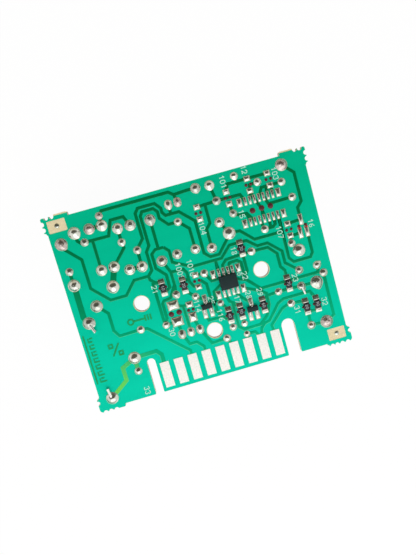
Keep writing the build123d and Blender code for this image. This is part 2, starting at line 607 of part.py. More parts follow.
contact_shapes = []
for number in range(1, CONTACT_COUNT + 1):
    contact_place = Pos(points[f"contact_{number}"][0], CONTACT_SETBACK + CONTACT_LENGTH / 2)
    contact_shapes.append(contact_place * Rectangle(CONTACT_WIDTH, CONTACT_LENGTH))
land_rectangles = [Pos(x, y) * Rectangle(width, length) for x, y, width, length, _ in lands]
openings = [land_shape(name) for name in round_lands] + land_rectangles + contact_shapes
windows = [
    Pos(*middle) * RectangleRounded(WINDOW_LENGTH, WINDOW_HEIGHT, WINDOW_RADIUS)
    for middle in (UPPER_WINDOW, LOWER_WINDOW)
]
hole_reliefs = locating_holes(RESIST_HOLE_RELIEF)

track_plan = Sketch() + [mitred_strip(run_of(track), width) for width, *track in TRACKS]
track_plan -= openings + hole_reliefs
track_plan = Sketch() + [piece for piece in track_plan.faces() if piece.area > SMALLEST_COPPER_PIECE]
resist_plan = outline - (openings + windows + hole_reliefs)
resist_plan -= [strip for _, _, bare in remnants for strip in bare]
resist_plan -= track_plan

# ---------------------------------------------------------------- leads


def wire(route, diameter, bends):
    """Round wire along the route, with one bend radius for each corner."""
    path = FilletPolyline(*route, radius=bends) if bends else Line(*route)
    return sweep(Plane(origin=path @ 0, z_dir=path % 0) * Circle(diameter / 2), path=path)


def solder_height(name):
    return round_lands[name][2] * SOLDER_RISE


def lead_end(name, diameter):
    """The last points of a lead: its straight tip above the solder, or an end clinched down to the board."""
    x, y, _ = round_lands[name]
    if name not in CLINCHED_ENDS:
        return [(x, y, solder_height(name) + LEAD_TIP)]
    direction, length = CLINCHED_ENDS[name]
    ahead = Vector(*direction).normalized() * length
    height = LAND_THICKNESS + diameter / 2
    return [(x, y, height), (x + ahead.X, y + ahead.Y, height)]


def axial_lead(name, end, body_length, axis_height, diameter, kinked):
    """One lead of an axial part: out of the body, round the bend and through the board.

    A kinked lead has a jog below the board that stops it there and holds a hot body clear of the laminate.
    """
    x, middle, _, _ = AXIAL_PARTS[name]
    side = 1 if end == "a" else -1
    hole_y = round_lands[f"{name}.{end}"][1]
    route = [(x, middle + side * body_length / 2, axis_height), (x, hole_y, axis_height)]
    bends = [LEAD_BEND]
    if kinked:
        for drop, reach in ((2 * KINK_HEIGHT, 0), (KINK_HEIGHT, KINK_REACH), (0, 0)):
            route.append((x, hole_y - side * reach, COMPONENT_FACE - KINK_DEPTH - drop))
            bends.append(diameter / 2)
    tip = lead_end(f"{name}.{end}", diameter)
    bends += [diameter / 2] * (len(tip) - 1)
    return wire(route + tip, diameter, bends)


def straight_lead(name, start_depth, diameter):
    """A lead that runs straight up through the board from below its component face."""
    x, y, _ = round_lands[name]
    return wire([(x, y, COMPONENT_FACE - start_depth), *lead_end(name, diameter)], diameter, [])


def output_leg(name, leg):
    """A sheet leg of the moulded transistor, spread from the pitch at its body to that of the holes."""
    middle_x, middle_y = OUTPUT_TRANSISTOR
    near_x, far_x = middle_x + leg * OUTPUT_LEG_SPACING, round_lands[name][0]
    run = [
        Vector(near_x, COMPONENT_FACE - OUTPUT_STANDOFF),
        Vector(near_x, COMPONENT_FACE - OUTPUT_STANDOFF * OUTPUT_SPREAD_START),
        Vector(far_x, COMPONENT_FACE - OUTPUT_STANDOFF * OUTPUT_SPREAD_END),
        Vector(far_x, solder_height(name) + LEAD_TIP),
    ]
    upright = Pos(0, middle_y) * Rot(X=90) * mitred_strip(run, OUTPUT_LEG_WIDTH)
    return extrude(upright, amount=OUTPUT_LEG_THICKNESS / 2, dir=(0, 1, 0), both=True)


# ---------------------------------------------------------------- solder


def solder_dome(name):
    """A rounded solder dome on its land, with a shoulder below its top."""
    x, y, diameter = round_lands[name]
    height, radius = solder_height(name), diameter / 2
    if name in oval_lands:
        base = Rot(Z=90) * SlotOverall(OVAL_LAND_LENGTH, diameter)
        return Pos(x, y) * extrude(base, amount=height, taper=OVAL_DOME_TAPER)
    shoulder = (radius * SOLDER_SHOULDER, height * SOLDER_SHOULDER_HEIGHT)
    crown = (radius * SOLDER_CROWN, height)
    profile = Plane.XZ * Polygon((0, 0), (radius, 0), shoulder, crown, (0, height), align=None)
    return Pos(x, y) * revolve(profile, Axis.Z)


def pillow(x, y, width, length):
    """The solder that a wave leaves on a bare land."""
    return upward(Pos(x, y) * Rectangle(width, length), 0, LAND_THICKNESS) + extrude(
        Pos(x, y, LAND_THICKNESS) * Rectangle(width, length), amount=SOLDER_PILLOW, taper=PILLOW_TAPER
    )


# ---------------------------------------------------------------- surface parts


def chip_body(x, y):
    return Pos(x, y, LAND_THICKNESS + CHIP_CAP_SKIN) * Box(
        CHIP_WIDTH - 2 * CHIP_CAP_SKIN, CHIP_LENGTH - 2 * CHIP_CAP_SKIN, CHIP_HEIGHT,
        align=(Align.CENTER, Align.CENTER, Align.MIN),
    )


def chip_caps(x, y):
    """The two plated caps that wrap the ends of a chip."""
    caps = []
    for side in (-1, 1):
        height = CHIP_HEIGHT + 2 * CHIP_CAP_SKIN
        cap = Box(CHIP_WIDTH, CHIP_CAP, height, align=(Align.CENTER, Align.CENTER, Align.MIN))
        cap = Pos(x, y + side * (CHIP_LENGTH - CHIP_CAP) / 2, LAND_THICKNESS) * cap
        caps.append(cap - chip_body(x, y))
    return caps


def toe_fillet(x, y, side, width, reach, height):
    """A concave wedge of solder from the end face at Y = y out over its land."""
    sag = (reach * FILLET_HOLLOW, height * FILLET_HOLLOW)
    profile = Polygon((0, 0), (reach, 0), sag, (0, height), align=None)
    wedge = extrude(Plane.YZ * profile, amount=width / 2, both=True)
    if side < 0:
        wedge = mirror(wedge, Plane.XZ)
    return Pos(x, y, LAND_THICKNESS) * wedge


def glue_dot(x, y, diameter):
    """A flat-bottomed drop of adhesive on the resist."""
    radius = diameter / 2
    shoulder = (radius * GLUE_SHOULDER, GLUE_DOT_HEIGHT * GLUE_SHOULDER_HEIGHT)
    profile = Plane.XZ * Polygon((0, 0), (radius, 0), shoulder, (0, GLUE_DOT_HEIGHT), align=None)
    return Pos(x, y, RESIST_THICKNESS) * revolve(profile, Axis.Z)


def gull_lead(body_half, toe, body_height, width):
    """A formed sheet lead along +Y: out of the body, down to the land and flat along it."""
    foot = LAND_THICKNESS + LEAD_SHEET / 2
    knee = body_half + (toe - body_half) * LEAD_KNEE
    run = [
        Vector(body_half - LEAD_ROOT, body_height),
        Vector(knee - LEAD_RAMP / 2, body_height),
        Vector(knee + LEAD_RAMP / 2, foot),
        Vector(toe, foot),
    ]
    return extrude(Plane.YZ * mitred_strip(run, LEAD_SHEET), amount=width / 2, both=True)


def moulded_body(length, width, height):
    """A small moulded package drafted both ways from its parting line."""
    half = height / 2
    blank = Pos(0, 0, BODY_STANDOFF + half) * Rectangle(length, width)
    return extrude(blank, amount=half, taper=BODY_DRAFT) + extrude(blank, amount=-half, taper=BODY_DRAFT)


def turned(shape, x, y, side):
    """The shape at X, Y, turned half way round where it belongs to the lower row."""
    return Pos(x, y) * (shape if side > 0 else Rot(Z=180) * shape)


# ---------------------------------------------------------------- leaded parts


def along_y(name, axis_height, shape):
    """A shape turned about Z laid on the part's axis."""
    x, y, _, _ = AXIAL_PARTS[name]
    return Pos(x, y, axis_height) * Rot(X=90) * shape


def waisted_body(length, diameter, cap, waist):
    """The body of a wire-ended resistor: a straight middle between two rounded, prouder caps."""
    radius, half = diameter / 2, length / 2
    middle = [(radius - waist, half - cap - WAIST_RAMP), (radius, half - cap)]
    tip = [(radius, half - radius * CAP_ROUNDING), (radius * CAP_TIP, half), (0, half)]
    upper = middle + tip
    lower = [(across, -along) for across, along in reversed(upper)]
    return revolve(Plane.XZ * Polygon(*lower, *upper, align=None), Axis.Z)


def diode_body():
    body = Cylinder(DIODE_DIAMETER / 2, DIODE_LENGTH)
    return chamfer(body.edges().filter_by(GeomType.CIRCLE), DIODE_CHAMFER)


def standing(name, shape):
    """A shape that grows away from the component face, given upside down from Z = 0."""
    x, y, _, _ = RADIAL_PARTS[name]
    return Pos(x, y, COMPONENT_FACE) * Rot(X=180) * shape


def crimp(radius):
    """The profile of the groove that holds the bung, on a wall of this radius."""
    middle = BUNG_INSET + BUNG_THICKNESS / 2
    return [
        (radius, middle - CRIMP_WIDTH / 2), (radius - CRIMP_DEPTH, middle), (radius, middle + CRIMP_WIDTH / 2)
    ]


def capacitor_can(diameter, height):
    """The drawn can: crimped round the bung, closed at the far end and scored there to vent."""
    outer = diameter / 2 - SLEEVE_WALL
    pocket = outer - CAN_LIP - CRIMP_DEPTH
    profile = Plane.XZ * Polygon(
        (0, BUNG_THICKNESS), (pocket, BUNG_THICKNESS), (pocket, CAN_LIP), (outer - CAN_LIP, CAN_LIP / 2),
        (outer, CAN_LIP), *crimp(outer), (outer, height - CAN_SHOULDER), (outer - CAN_SHOULDER, height),
        (0, height), align=None,
    )
    can = revolve(profile, Axis.Z)
    for turn in (45, 135):
        can -= Pos(0, 0, height) * Rot(Z=turn) * Box(2 * outer * VENT_LENGTH, VENT_WIDTH, 2 * VENT_DEPTH)
    return can


def capacitor_bung(diameter):
    """The rubber bung that closes the can and stands on the board."""
    radius = diameter / 2 - SLEEVE_WALL - CAN_LIP - CRIMP_DEPTH
    return Cylinder(radius, BUNG_THICKNESS, align=(Align.CENTER, Align.CENTER, Align.MIN))


def capacitor_sleeve(diameter, height):
    """The shrunk sleeve: a tube that follows the crimp and folds a little way over the closed end."""
    outer = diameter / 2
    inner = outer - SLEEVE_WALL
    fold = inner - CAN_SHOULDER
    profile = Plane.XZ * Polygon(
        (inner, CAN_LIP), (outer, CAN_LIP), *crimp(outer), (outer, height - CAN_SHOULDER),
        (fold, height + SLEEVE_WALL), (fold - SLEEVE_FOLD, height + SLEEVE_WALL),
        (fold - SLEEVE_FOLD, height), (fold, height), (inner, height - CAN_SHOULDER),
        *reversed(crimp(inner)), align=None,
    )
    return revolve(profile, Axis.Z)


def disc_body():
    """A dipped ceramic disc on edge, thick in the middle, with its coating drawn up along both leads."""
    radius, half = DISC_DIAMETER / 2, DISC_THICKNESS / 2
    profile = Plane.XZ * Polygon(
        (0, -half), (radius * DISC_FLAT_SHARE, -half), (radius, -DISC_RIM / 2), (radius, DISC_RIM / 2),
        (radius * DISC_FLAT_SHARE, half), (0, half), align=None,
    )
    disc = Rot(X=90) * revolve(profile, Axis.Z)
    half_spacing = RADIAL_PARTS["disc_capacitor"][2] / 2
    for side in (-1, 1):
        neck = Cone(DISC_RIM, THIN_LEAD / 2 + DISC_NECK_SKIN, DISC_NECK)
        disc += Pos(side * half_spacing, 0, radius * DISC_NECK_START + DISC_NECK / 2) * neck
    return disc


def output_body():
    """The moulded body of the transistor: round at the back and flat in front."""
    plan = Circle(OUTPUT_RADIUS)
    plan -= Pos(0, -OUTPUT_FLAT - OUTPUT_RADIUS) * Rectangle(2 * OUTPUT_RADIUS, 2 * OUTPUT_RADIUS)
    return extrude(plan, amount=-OUTPUT_HEIGHT)


# ---------------------------------------------------------------- assembly

MODEL = {}

# the board and its layers
lead_sizes = {}
for name in round_lands:
    if name.startswith(("dropper", "load", "input", "bridge", "zener")):
        lead_sizes[name] = STOUT_LEAD
    elif "." in name:
        lead_sizes[name] = THIN_LEAD
lead_holes = [
    Pos(*round_lands[name][:2]) * Circle((lead_sizes.get(name, STOUT_LEAD) + DRILL_CLEARANCE) / 2)
    for name in round_lands
    if name not in TEST_POINTS
]
board_plan = outline - (locating_holes() + lead_holes)
MODEL["circuit_board"] = upward(board_plan, COMPONENT_FACE, BOARD_THICKNESS)
MODEL["solder_resist"] = upward(resist_plan, 0, RESIST_THICKNESS)
MODEL["copper_tracks"] = upward(track_plan, 0, TRACK_THICKNESS)
MODEL["edge_contacts"] = Part() + [upward(shape, 0, LAND_THICKNESS) for shape in contact_shapes]
MODEL["fiducial_pads"] = Part() + [
    upward(Pos(*middle) * Circle(FIDUCIAL_DIAMETER / 2), 0, LAND_THICKNESS)
    for middle in (UPPER_WINDOW, LOWER_WINDOW)
]

# lands: those that hold a terminal stay flat, and the others carry a pillow of solder
MODEL["solder_lands"] = Part() + [
    upward(Pos(x, y) * Rectangle(width, length), 0, LAND_THICKNESS) if fitted else pillow(x, y, width, length)
    for x, y, width, length, fitted in lands
]

# surface parts
for name, middle in CHIPS.items():
    MODEL[name] = chip_body(*middle)
MODEL["chip_terminations"] = Part() + [cap for middle in CHIPS.values() for cap in chip_caps(*middle)]
chip_reach = CHIP_LAND_PITCH / 2 + CHIP_LAND_LENGTH / 2 - CHIP_LENGTH / 2
fillets = [
    toe_fillet(x, y + side * CHIP_LENGTH / 2, side, CHIP_WIDTH, chip_reach, FILLET_HEIGHT)
    for x, y in CHIPS.values()
    for side in (-1, 1)
]

body_middle = BODY_STANDOFF + AMPLIFIER_HEIGHT / 2
pin = gull_lead(AMPLIFIER_WIDTH / 2, AMPLIFIER_SPAN / 2, body_middle, AMPLIFIER_LEAD_WIDTH)
first_pin = -(AMPLIFIER_PINS - 1) * OUTLINE_PIN_PITCH / 2
MODEL["amplifier_leads"] = Part() + [
    turned(Pos(first_pin + number * OUTLINE_PIN_PITCH) * pin, *AMPLIFIER, side)
    for number in range(AMPLIFIER_PINS)
    for side in (-1, 1)
]
for number in range(AMPLIFIER_PINS):
    x = AMPLIFIER[0] + first_pin + number * OUTLINE_PIN_PITCH
    for side in (-1, 1):
        y = AMPLIFIER[1] + side * AMPLIFIER_SPAN / 2
        fillets.append(toe_fillet(x, y, side, AMPLIFIER_LEAD_WIDTH, TOE_FILLET_REACH, TOE_FILLET_HEIGHT))
body = Pos(*AMPLIFIER) * moulded_body(AMPLIFIER_LENGTH, AMPLIFIER_WIDTH, AMPLIFIER_HEIGHT)
MODEL["amplifier_body"] = body - MODEL["amplifier_leads"]

leg = gull_lead(TRANSISTOR_WIDTH / 2, TRANSISTOR_SPAN / 2, BODY_STANDOFF + TRANSISTOR_HEIGHT / 2,
                TRANSISTOR_LEAD_WIDTH)
for name, middle in TRANSISTORS.items():
    legs = [turned(leg, *middle, 1)]
    legs += [turned(Pos(side * TRANSISTOR_LEG_SPACING / 2) * leg, *middle, -1) for side in (-1, 1)]
    MODEL[f"{name}_leads"] = Part() + legs
    for place, (x, _) in enumerate(transistor_lands(*middle)):
        side = 1 if place == 0 else -1
        toe_y = middle[1] + side * TRANSISTOR_SPAN / 2
        reach = 2 * TOE_FILLET_REACH
        fillets.append(toe_fillet(x, toe_y, side, TRANSISTOR_LEAD_WIDTH, reach, TOE_FILLET_HEIGHT))
    body = Pos(*middle) * moulded_body(TRANSISTOR_LENGTH, TRANSISTOR_WIDTH, TRANSISTOR_HEIGHT)
    MODEL[f"{name}_body"] = body - MODEL[f"{name}_leads"]

MODEL["surface_solder_fillets"] = Part() + fillets

leads = {}

# axial parts: what each body is, its length, and the depth of its axis below the component face
axial_bodies = {}
for name in AXIAL_PARTS:
    if name.startswith("dropper"):
        depth = STAND_HEIGHT - DROPPER_DIAMETER / 2
        body = waisted_body(DROPPER_LENGTH, DROPPER_DIAMETER, DROPPER_CAP, DROPPER_WAIST)
        axial_bodies[name] = (body, DROPPER_LENGTH, depth)
    elif "diode" in name:
        axial_bodies[name] = (diode_body(), DIODE_LENGTH, SEATING_GAP + DIODE_DIAMETER / 2)
    else:
        quarter_watt = name in ("bias_resistor", "sense_resistor")
        length = QUARTER_WATT_LENGTH if quarter_watt else HALF_WATT_LENGTH
        diameter = QUARTER_WATT_DIAMETER if quarter_watt else HALF_WATT_DIAMETER
        body = waisted_body(length, diameter, length * RESISTOR_CAP_SHARE, RESISTOR_WAIST)
        axial_bodies[name] = (body, length, SEATING_GAP + diameter / 2)
for name, (body, length, depth) in axial_bodies.items():
    height = COMPONENT_FACE - depth
    MODEL[name] = along_y(name, height, body)
    for end in ("a", "b"):
        land = f"{name}.{end}"
        leads[land] = axial_lead(name, end, length, height, lead_sizes[land], name.startswith("dropper"))

# capacitors
for name, diameter, height in (
    ("main_capacitor", MAIN_CAPACITOR_DIAMETER, MAIN_CAPACITOR_HEIGHT),
    ("small_capacitor", SMALL_CAPACITOR_DIAMETER, SMALL_CAPACITOR_HEIGHT),
):
    for end in ("a", "b"):
        leads[f"{name}.{end}"] = straight_lead(f"{name}.{end}", BUNG_THICKNESS, THIN_LEAD)
    can_height = height - SLEEVE_WALL
    MODEL[f"{name}_can"] = standing(name, capacitor_can(diameter, can_height))
    MODEL[f"{name}_sleeve"] = standing(name, capacitor_sleeve(diameter, can_height))
    bung = standing(name, capacitor_bung(diameter))
    MODEL[f"{name}_bung"] = bung - [leads[f"{name}.{end}"] for end in ("a", "b")]

for end in ("a", "b"):
    leads[f"disc_capacitor.{end}"] = straight_lead(f"disc_capacitor.{end}", DISC_LEAD_DEPTH, THIN_LEAD)
x, y, _, _ = RADIAL_PARTS["disc_capacitor"]
disc = Pos(x, y, COMPONENT_FACE - STAND_HEIGHT + DISC_DIAMETER / 2) * disc_body()
MODEL["disc_capacitor"] = disc - [leads["disc_capacitor.a"], leads["disc_capacitor.b"]]

# output transistor
for leg in (-1, 0, 1):
    leads[f"output.{leg + 2}"] = output_leg(f"output.{leg + 2}", leg)
MODEL["output_transistor"] = Pos(*OUTPUT_TRANSISTOR, COMPONENT_FACE - OUTPUT_STANDOFF) * output_body()

# the leads of each kind of part, and the solder that holds them
LEAD_GROUPS = {
    "dropper_leads": ("dropper",),
    "resistor_leads": ("load", "input", "series", "bias", "sense"),
    "diode_leads": ("bridge", "zener"),
    "main_capacitor_leads": ("main",),
    "small_capacitor_leads": ("small",),
    "disc_capacitor_leads": ("disc",),
    "output_transistor_leads": ("output",),
}
for group, prefixes in LEAD_GROUPS.items():
    MODEL[group] = Part() + [lead for name, lead in leads.items() if name.startswith(prefixes)]
MODEL["lead_solder_joints"] = Part() + [solder_dome(name) - lead for name, lead in leads.items()]
MODEL["test_point_solder"] = Part() + [solder_dome(name) for name in (*TEST_POINTS, *EMPTY_HOLES)]

# adhesive: pressed out from under each fitted chip, and left as plain dots on the empty footprints
squeezed, dots = [], []
for x, y in CHIPS.values():
    for side in (-1, 1):
        drop = glue_dot(x + side * GLUE_SQUEEZE_SPREAD / 2, y, GLUE_DOT_DIAMETER)
        squeezed.append(drop - chip_body(x, y))
for x, y in EMPTY_CHIPS.values():
    dots += [glue_dot(x + side * GLUE_DOT_SPREAD / 2, y, GLUE_DOT_DIAMETER) for side in (-1, 1)]
for x, upper, upper_size, lower, lower_size, diameter, spread in LARGE_FOOTPRINTS.values():
    gap_middle = (upper - upper_size[1] / 2 + lower + lower_size[1] / 2) / 2
    dots += [glue_dot(x + side * spread / 2, gap_middle, diameter) for side in (-1, 1)]
x, y = EMPTY_TRANSISTOR
dots += [glue_dot(x + side * TRANSISTOR_LEG_SPACING / 2, y, GLUE_DOT_DIAMETER) for side in (-1, 1)]
x, y = EMPTY_PACKAGE
dots += [glue_dot(x + along, y, PACKAGE_DOT_DIAMETER) for along in EMPTY_PACKAGE_DOTS]
below = [MODEL["copper_tracks"], MODEL["solder_lands"]]
for group, drops in (("chip_glue", squeezed), ("glue_dots", dots)):
    settled = [drop - below for drop in drops]
    MODEL[group] = Part() + [max(drop.solids(), key=lambda solid: solid.volume) for drop in settled]

# ---------------------------------------------------------------- placing and writing

# The part's own origin is under the middle of its outline, on the surface that it lies on.
outline_middle_y = (BOARD_WIDTH + TAB_DEPTH - BREAK_DEPTH) / 2
TO_ORIGIN = Pos(-BOARD_LENGTH / 2, -outline_middle_y, BOARD_THICKNESS + STAND_HEIGHT)
for name, shape in MODEL.items():
    export_step(TO_ORIGIN * shape, f"parts/{name}.step")
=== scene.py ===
import collections
import functools
import math
import random

import bmesh
import bpy
from bpy.props import FloatProperty, FloatVectorProperty, PointerProperty
from bpy.types import NodeSocket, Operator, Panel, PropertyGroup, Scene
from mathutils import Matrix, Vector, noise


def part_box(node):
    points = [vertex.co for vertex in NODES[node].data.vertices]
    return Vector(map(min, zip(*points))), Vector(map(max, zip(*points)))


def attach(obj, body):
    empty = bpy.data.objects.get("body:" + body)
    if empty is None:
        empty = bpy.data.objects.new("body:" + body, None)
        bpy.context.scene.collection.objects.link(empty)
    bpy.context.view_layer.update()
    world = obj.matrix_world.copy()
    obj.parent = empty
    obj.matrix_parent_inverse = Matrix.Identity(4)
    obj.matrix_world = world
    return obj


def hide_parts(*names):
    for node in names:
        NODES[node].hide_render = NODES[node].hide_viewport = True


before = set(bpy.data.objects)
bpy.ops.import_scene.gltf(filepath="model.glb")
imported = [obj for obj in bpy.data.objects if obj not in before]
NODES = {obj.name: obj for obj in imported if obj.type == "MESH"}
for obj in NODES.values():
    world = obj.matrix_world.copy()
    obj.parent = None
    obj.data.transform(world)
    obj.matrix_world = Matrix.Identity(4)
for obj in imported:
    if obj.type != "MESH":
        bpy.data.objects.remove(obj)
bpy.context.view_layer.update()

bl_info = {
    "name": "Dryer Control Board",
    "version": (1, 0, 0),
    "blender": (4, 5, 0),
    "location": "View3D > Sidebar > Control Board",
    "description": "Dresses a printed control board with solder, adhesive, legend and mounted parts",
    "category": "Object",
}

MM = 0.001
# Board coordinates are in millimetres from the lower left corner of the board's clean outline, with Z = 0 on
# the laminate's copper face. The edge contacts start a little way up from that corner.
HALF_WIDTH = 35.56
CONTACT_START = 1.0
CONTACT_CORNER = Vector((0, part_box("edge_contacts")[0].y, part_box("circuit_board")[1].z)) / MM
CORNER = CONTACT_CORNER - Vector((HALF_WIDTH, CONTACT_START, 0))
RESIST_TOP = 0.04
TRACK_TOP = 0.09
LEGEND_TOP = TRACK_TOP + 0.012
LAND_TOP = 0.12
SAME_PLACE = 1e-7  # metres within which two corners of a CAD mesh are one
# Where the steps of the painted light lie: board Y, along a line that leans a little to the left. The green
# is painted lighter towards the contact side, where the lamp stands, and darker towards the far edge.
PAINTED_LIGHT_PLACES = (("Far", 52), ("Upper", 37), ("Lower", 24), ("Contact", 11))
PAINTED_LIGHT_SLANT = 0.1


# ---------- settings ----------


def tint(name, description, default):
    """A colour that a user may change."""
    return FloatVectorProperty(
        name=name, description=description, default=default, subtype="COLOR", size=3, min=0, max=1
    )


def span(name, description, default, low, high):
    """A length that a user may change between two limits, all in metres."""
    return FloatProperty(
        name=name, description=description, default=default, min=low, max=high, unit="LENGTH"
    )


class BoardSettings(PropertyGroup):
    """Colours of the board and its layers."""

    # The resist and track colours step from the far edge to the contact side; this step is painted light,
    # darker far from the lamp and lighter near it.
    resist: tint("Resist", "Green lacquer near the upper edge", (0.0008, 0.462, 0.254))
    resist_lit_side: tint("Resist, contact side", "Green lacquer near the edge contacts", (0.001, 0.60, 0.395))
    track: tint("Track", "Lacquer over copper near the upper edge", (0.0004, 0.150, 0.046))
    track_lit_side: tint(
        "Track, contact side", "Lacquer over copper near the edge contacts", (0.0013, 0.418, 0.200)
    )
    track_thin: tint("Thin lacquer", "Lacquer so thin that the copper shows through", (0.15, 0.66, 0.10))
    # A painted highlight for the track slopes that face the lamp beyond the contacts.
    track_edge_highlight: tint("Track edge", "Lacquer on the slopes beside a track", (0.06, 0.53, 0.27))
    track_slope: span("Track slope", "Width of a track's sloping edge", 0.12 * MM, 0.00002, 0.0003)
    laminate: tint("Laminate", "Bare paper and resin laminate", (0.79, 0.68, 0.43))
    laminate_edge: tint("Laminate edge", "Cut and punched edges of the laminate", (0.62, 0.56, 0.44))
    legend: tint("Legend ink", "Printed numerals", (0.50, 0.88, 0.75))
    legend_height: span("Numeral height", "Height of a printed numeral", 1.3 * MM, 0.0005, 0.003)
    legend_stroke: span("Numeral stroke", "Width of a printed stroke", 0.20 * MM, 0.00005, 0.0006)


class SolderSettings(PropertyGroup):
    """Shape and colour of the solder and the adhesive."""

    rise: FloatProperty(
        name="Rise", description="Height of a joint as a share of its land's diameter", subtype="FACTOR",
        default=0.285, min=0.1, max=0.5,
    )
    rim: span("Rim", "Height of the solder at the edge of a land", 0.07 * MM, 0.00002, 0.0003)
    unevenness: span("Unevenness", "How far a joint's skin strays from a round one", 0.048 * MM, 0, 0.0002)
    colour: tint("Solder", "Bright solder", (0.51, 0.53, 0.47))
    adhesive: tint("Adhesive", "Cured dots on bare footprints", (0.068, 0.014, 0.017))
    adhesive_smear: tint("Adhesive on solder", "Thin adhesive over bright lands", (0.55, 0.02, 0.02))


class PartSettings(PropertyGroup):
    """Colours and edges of the mounted parts."""

    edge: span("Edge rounding", "Rounding of moulded and glazed edges", 0.07 * MM, 0.00001, 0.0003)
    moulding: tint("Moulding", "Black moulded packages", (0.011, 0.025, 0.026))
    glaze: tint("Chip glaze", "Glazed top of a chip resistor", (0.010, 0.011, 0.014))
    cement: tint("Cement", "Cement coat of the power resistors", (0.13, 0.26, 0.20))
    lacquer: tint("Lacquer", "Lacquer of the small resistors", (0.62, 0.46, 0.27))
    sleeve: tint("Sleeve", "Shrunk sleeve of the capacitors", (0.010, 0.014, 0.045))
    dip: tint("Dip coat", "Dipped coat of the disc capacitor", (0.50, 0.19, 0.045))


class StageSettings(PropertyGroup):
    """Camera, light and floor."""

    place: FloatVectorProperty(
        name="Camera place", description="Where the camera stands", subtype="TRANSLATION", unit="LENGTH",
        size=3, default=(-0.002637, 0.015503, 0.148732),
    )
    turn: FloatVectorProperty(
        name="Camera turn", description="The camera's rotation", subtype="EULER", unit="ROTATION", size=3,
        default=(math.radians(-5.632), math.radians(-3.662), math.radians(-15.621)),
    )
    lens: FloatProperty(
        name="Lens", description="Focal length in millimetres", default=32.43, min=10, max=200, unit="CAMERA"
    )
    key_power: FloatProperty(
        name="Key power", description="Power of the large lamp beyond the edge contacts", default=0.58, min=0,
        max=10, unit="POWER",
    )
    surround: FloatProperty(
        name="Surround", description="Strength of the white surround", default=1.38, min=0, max=3
    )
    floor_reach: span("Floor reach", "Half the side of the floor", 3.0, 0.2, 20)


# ---------- shader nodes ----------


# A Mix node has its sockets under the same names for each kind of data, so their numbers tell them apart.
FIRST_NUMBER, SECOND_NUMBER, FIRST_COLOUR, SECOND_COLOUR = 2, 3, 6, 7
MIXED_NUMBER, MIXED_COLOUR = 0, 2


def feed(tree, node, values):
    """Gives a node's inputs their values, by links where these are sockets of other nodes."""
    for label, value in values.items():
        socket = node.inputs[label]
        if isinstance(value, NodeSocket):
            tree.links.new(value, socket)
        elif socket.type == "RGBA":
            socket.default_value = (*value, 1)
        else:
            socket.default_value = value


def add_node(tree, kind, values, **options):
    """A new shader node of a kind, with its options and its inputs set; gives its outputs."""
    node = tree.nodes.new(f"ShaderNode{kind}")
    for option, value in options.items():
        setattr(node, option, value)
    feed(tree, node, values)
    return node.outputs


def mix_colours(tree, share, first, second):
    """The mix of two colours."""
    values = {"Factor": share, FIRST_COLOUR: first, SECOND_COLOUR: second}
    return add_node(tree, "Mix", values, data_type="RGBA")[MIXED_COLOUR]


def combine(tree, operation, *values):
    """The result of an operation on numbers."""
    return add_node(tree, "Math", dict(enumerate(values)), operation=operation)["Value"]


def combine_vectors(tree, operation, *values):
    """The result of an operation on vectors: a number from a dot product or a distance, and else a vector."""
    result = "Value" if operation in ("DOT_PRODUCT", "DISTANCE") else "Vector"
    return add_node(tree, "VectorMath", dict(enumerate(values)), operation=operation)[result]


def share_between(tree, value, low, high, **options):
    """How far a value is on its way from low to high, from 0 to 1."""
    values = {"Value": value, "From Min": low, "From Max": high}
    return add_node(tree, "MapRange", values, **options)["Result"]


def add_group(name, inputs, outputs):
    """A shader node group; gives it with its input sockets and its output node."""
    group = bpy.data.node_groups.new(name, "ShaderNodeTree")
    for way, sockets in (("INPUT", inputs), ("OUTPUT", outputs)):
        for label, kind in sockets.items():
            group.interface.new_socket(label, in_out=way, socket_type=f"NodeSocket{kind}")
    return group, group.nodes.new("NodeGroupInput").outputs, group.nodes.new("NodeGroupOutput")


@functools.cache
def mottled_skin():
    """The group of a cloudy colour, a roughness that follows a fine grain, and a height for the bump."""
    inputs = {
        "Vector": "Vector", "Cloud Scale": "Float", "Grain Scale": "Float", "First Color": "Color",
        "Second Color": "Color", "Smooth Roughness": "Float", "Dull Roughness": "Float",
    }
    outputs = {"Color": "Color", "Roughness": "Float", "Height": "Float"}
    group, given, out = add_group("mottled_skin", inputs, outputs)
    place = given["Vector"]
    cloud, grain = (
        add_node(group, "TexNoise", {"Vector": place, "Scale": given[scale], "Detail": detail})["Fac"]
        for scale, detail in (("Cloud Scale", 4), ("Grain Scale", 2))
    )
    share = share_between(group, cloud, 0.3, 0.7)
    rough = {
        "Factor": grain, FIRST_NUMBER: given["Smooth Roughness"], SECOND_NUMBER: given["Dull Roughness"],
    }
    feed(group, out, {
        "Color": mix_colours(group, share, given["First Color"], given["Second Color"]),
        "Roughness": add_node(group, "Mix", rough)[MIXED_NUMBER],
        "Height": combine(group, "ADD", cloud, grain),
    })
    return group


@functools.cache
def painted_light_ramp():
    """The group of painted light: a colour that shifts in three steps from the board's far edge to its
    contact edge, lighter towards the lamp.
    """
    inputs = {"Vector": "Vector"} | {f"{label} Color": "Color" for label, _ in PAINTED_LIGHT_PLACES}
    group, given, out = add_group("painted_light_ramp", inputs, {"Color": "Color"})
    along = combine_vectors(group, "DOT_PRODUCT", given["Vector"], (PAINTED_LIGHT_SLANT, 1, 0))
    (label, before), *steps = PAINTED_LIGHT_PLACES
    colour = given[f"{label} Color"]
    for label, place in steps:
        share = share_between(group, along, at(0, before).y, at(0, place).y)
        colour = mix_colours(group, share, colour, given[f"{label} Color"])
        before = place
    feed(group, out, {"Color": colour})
    return group


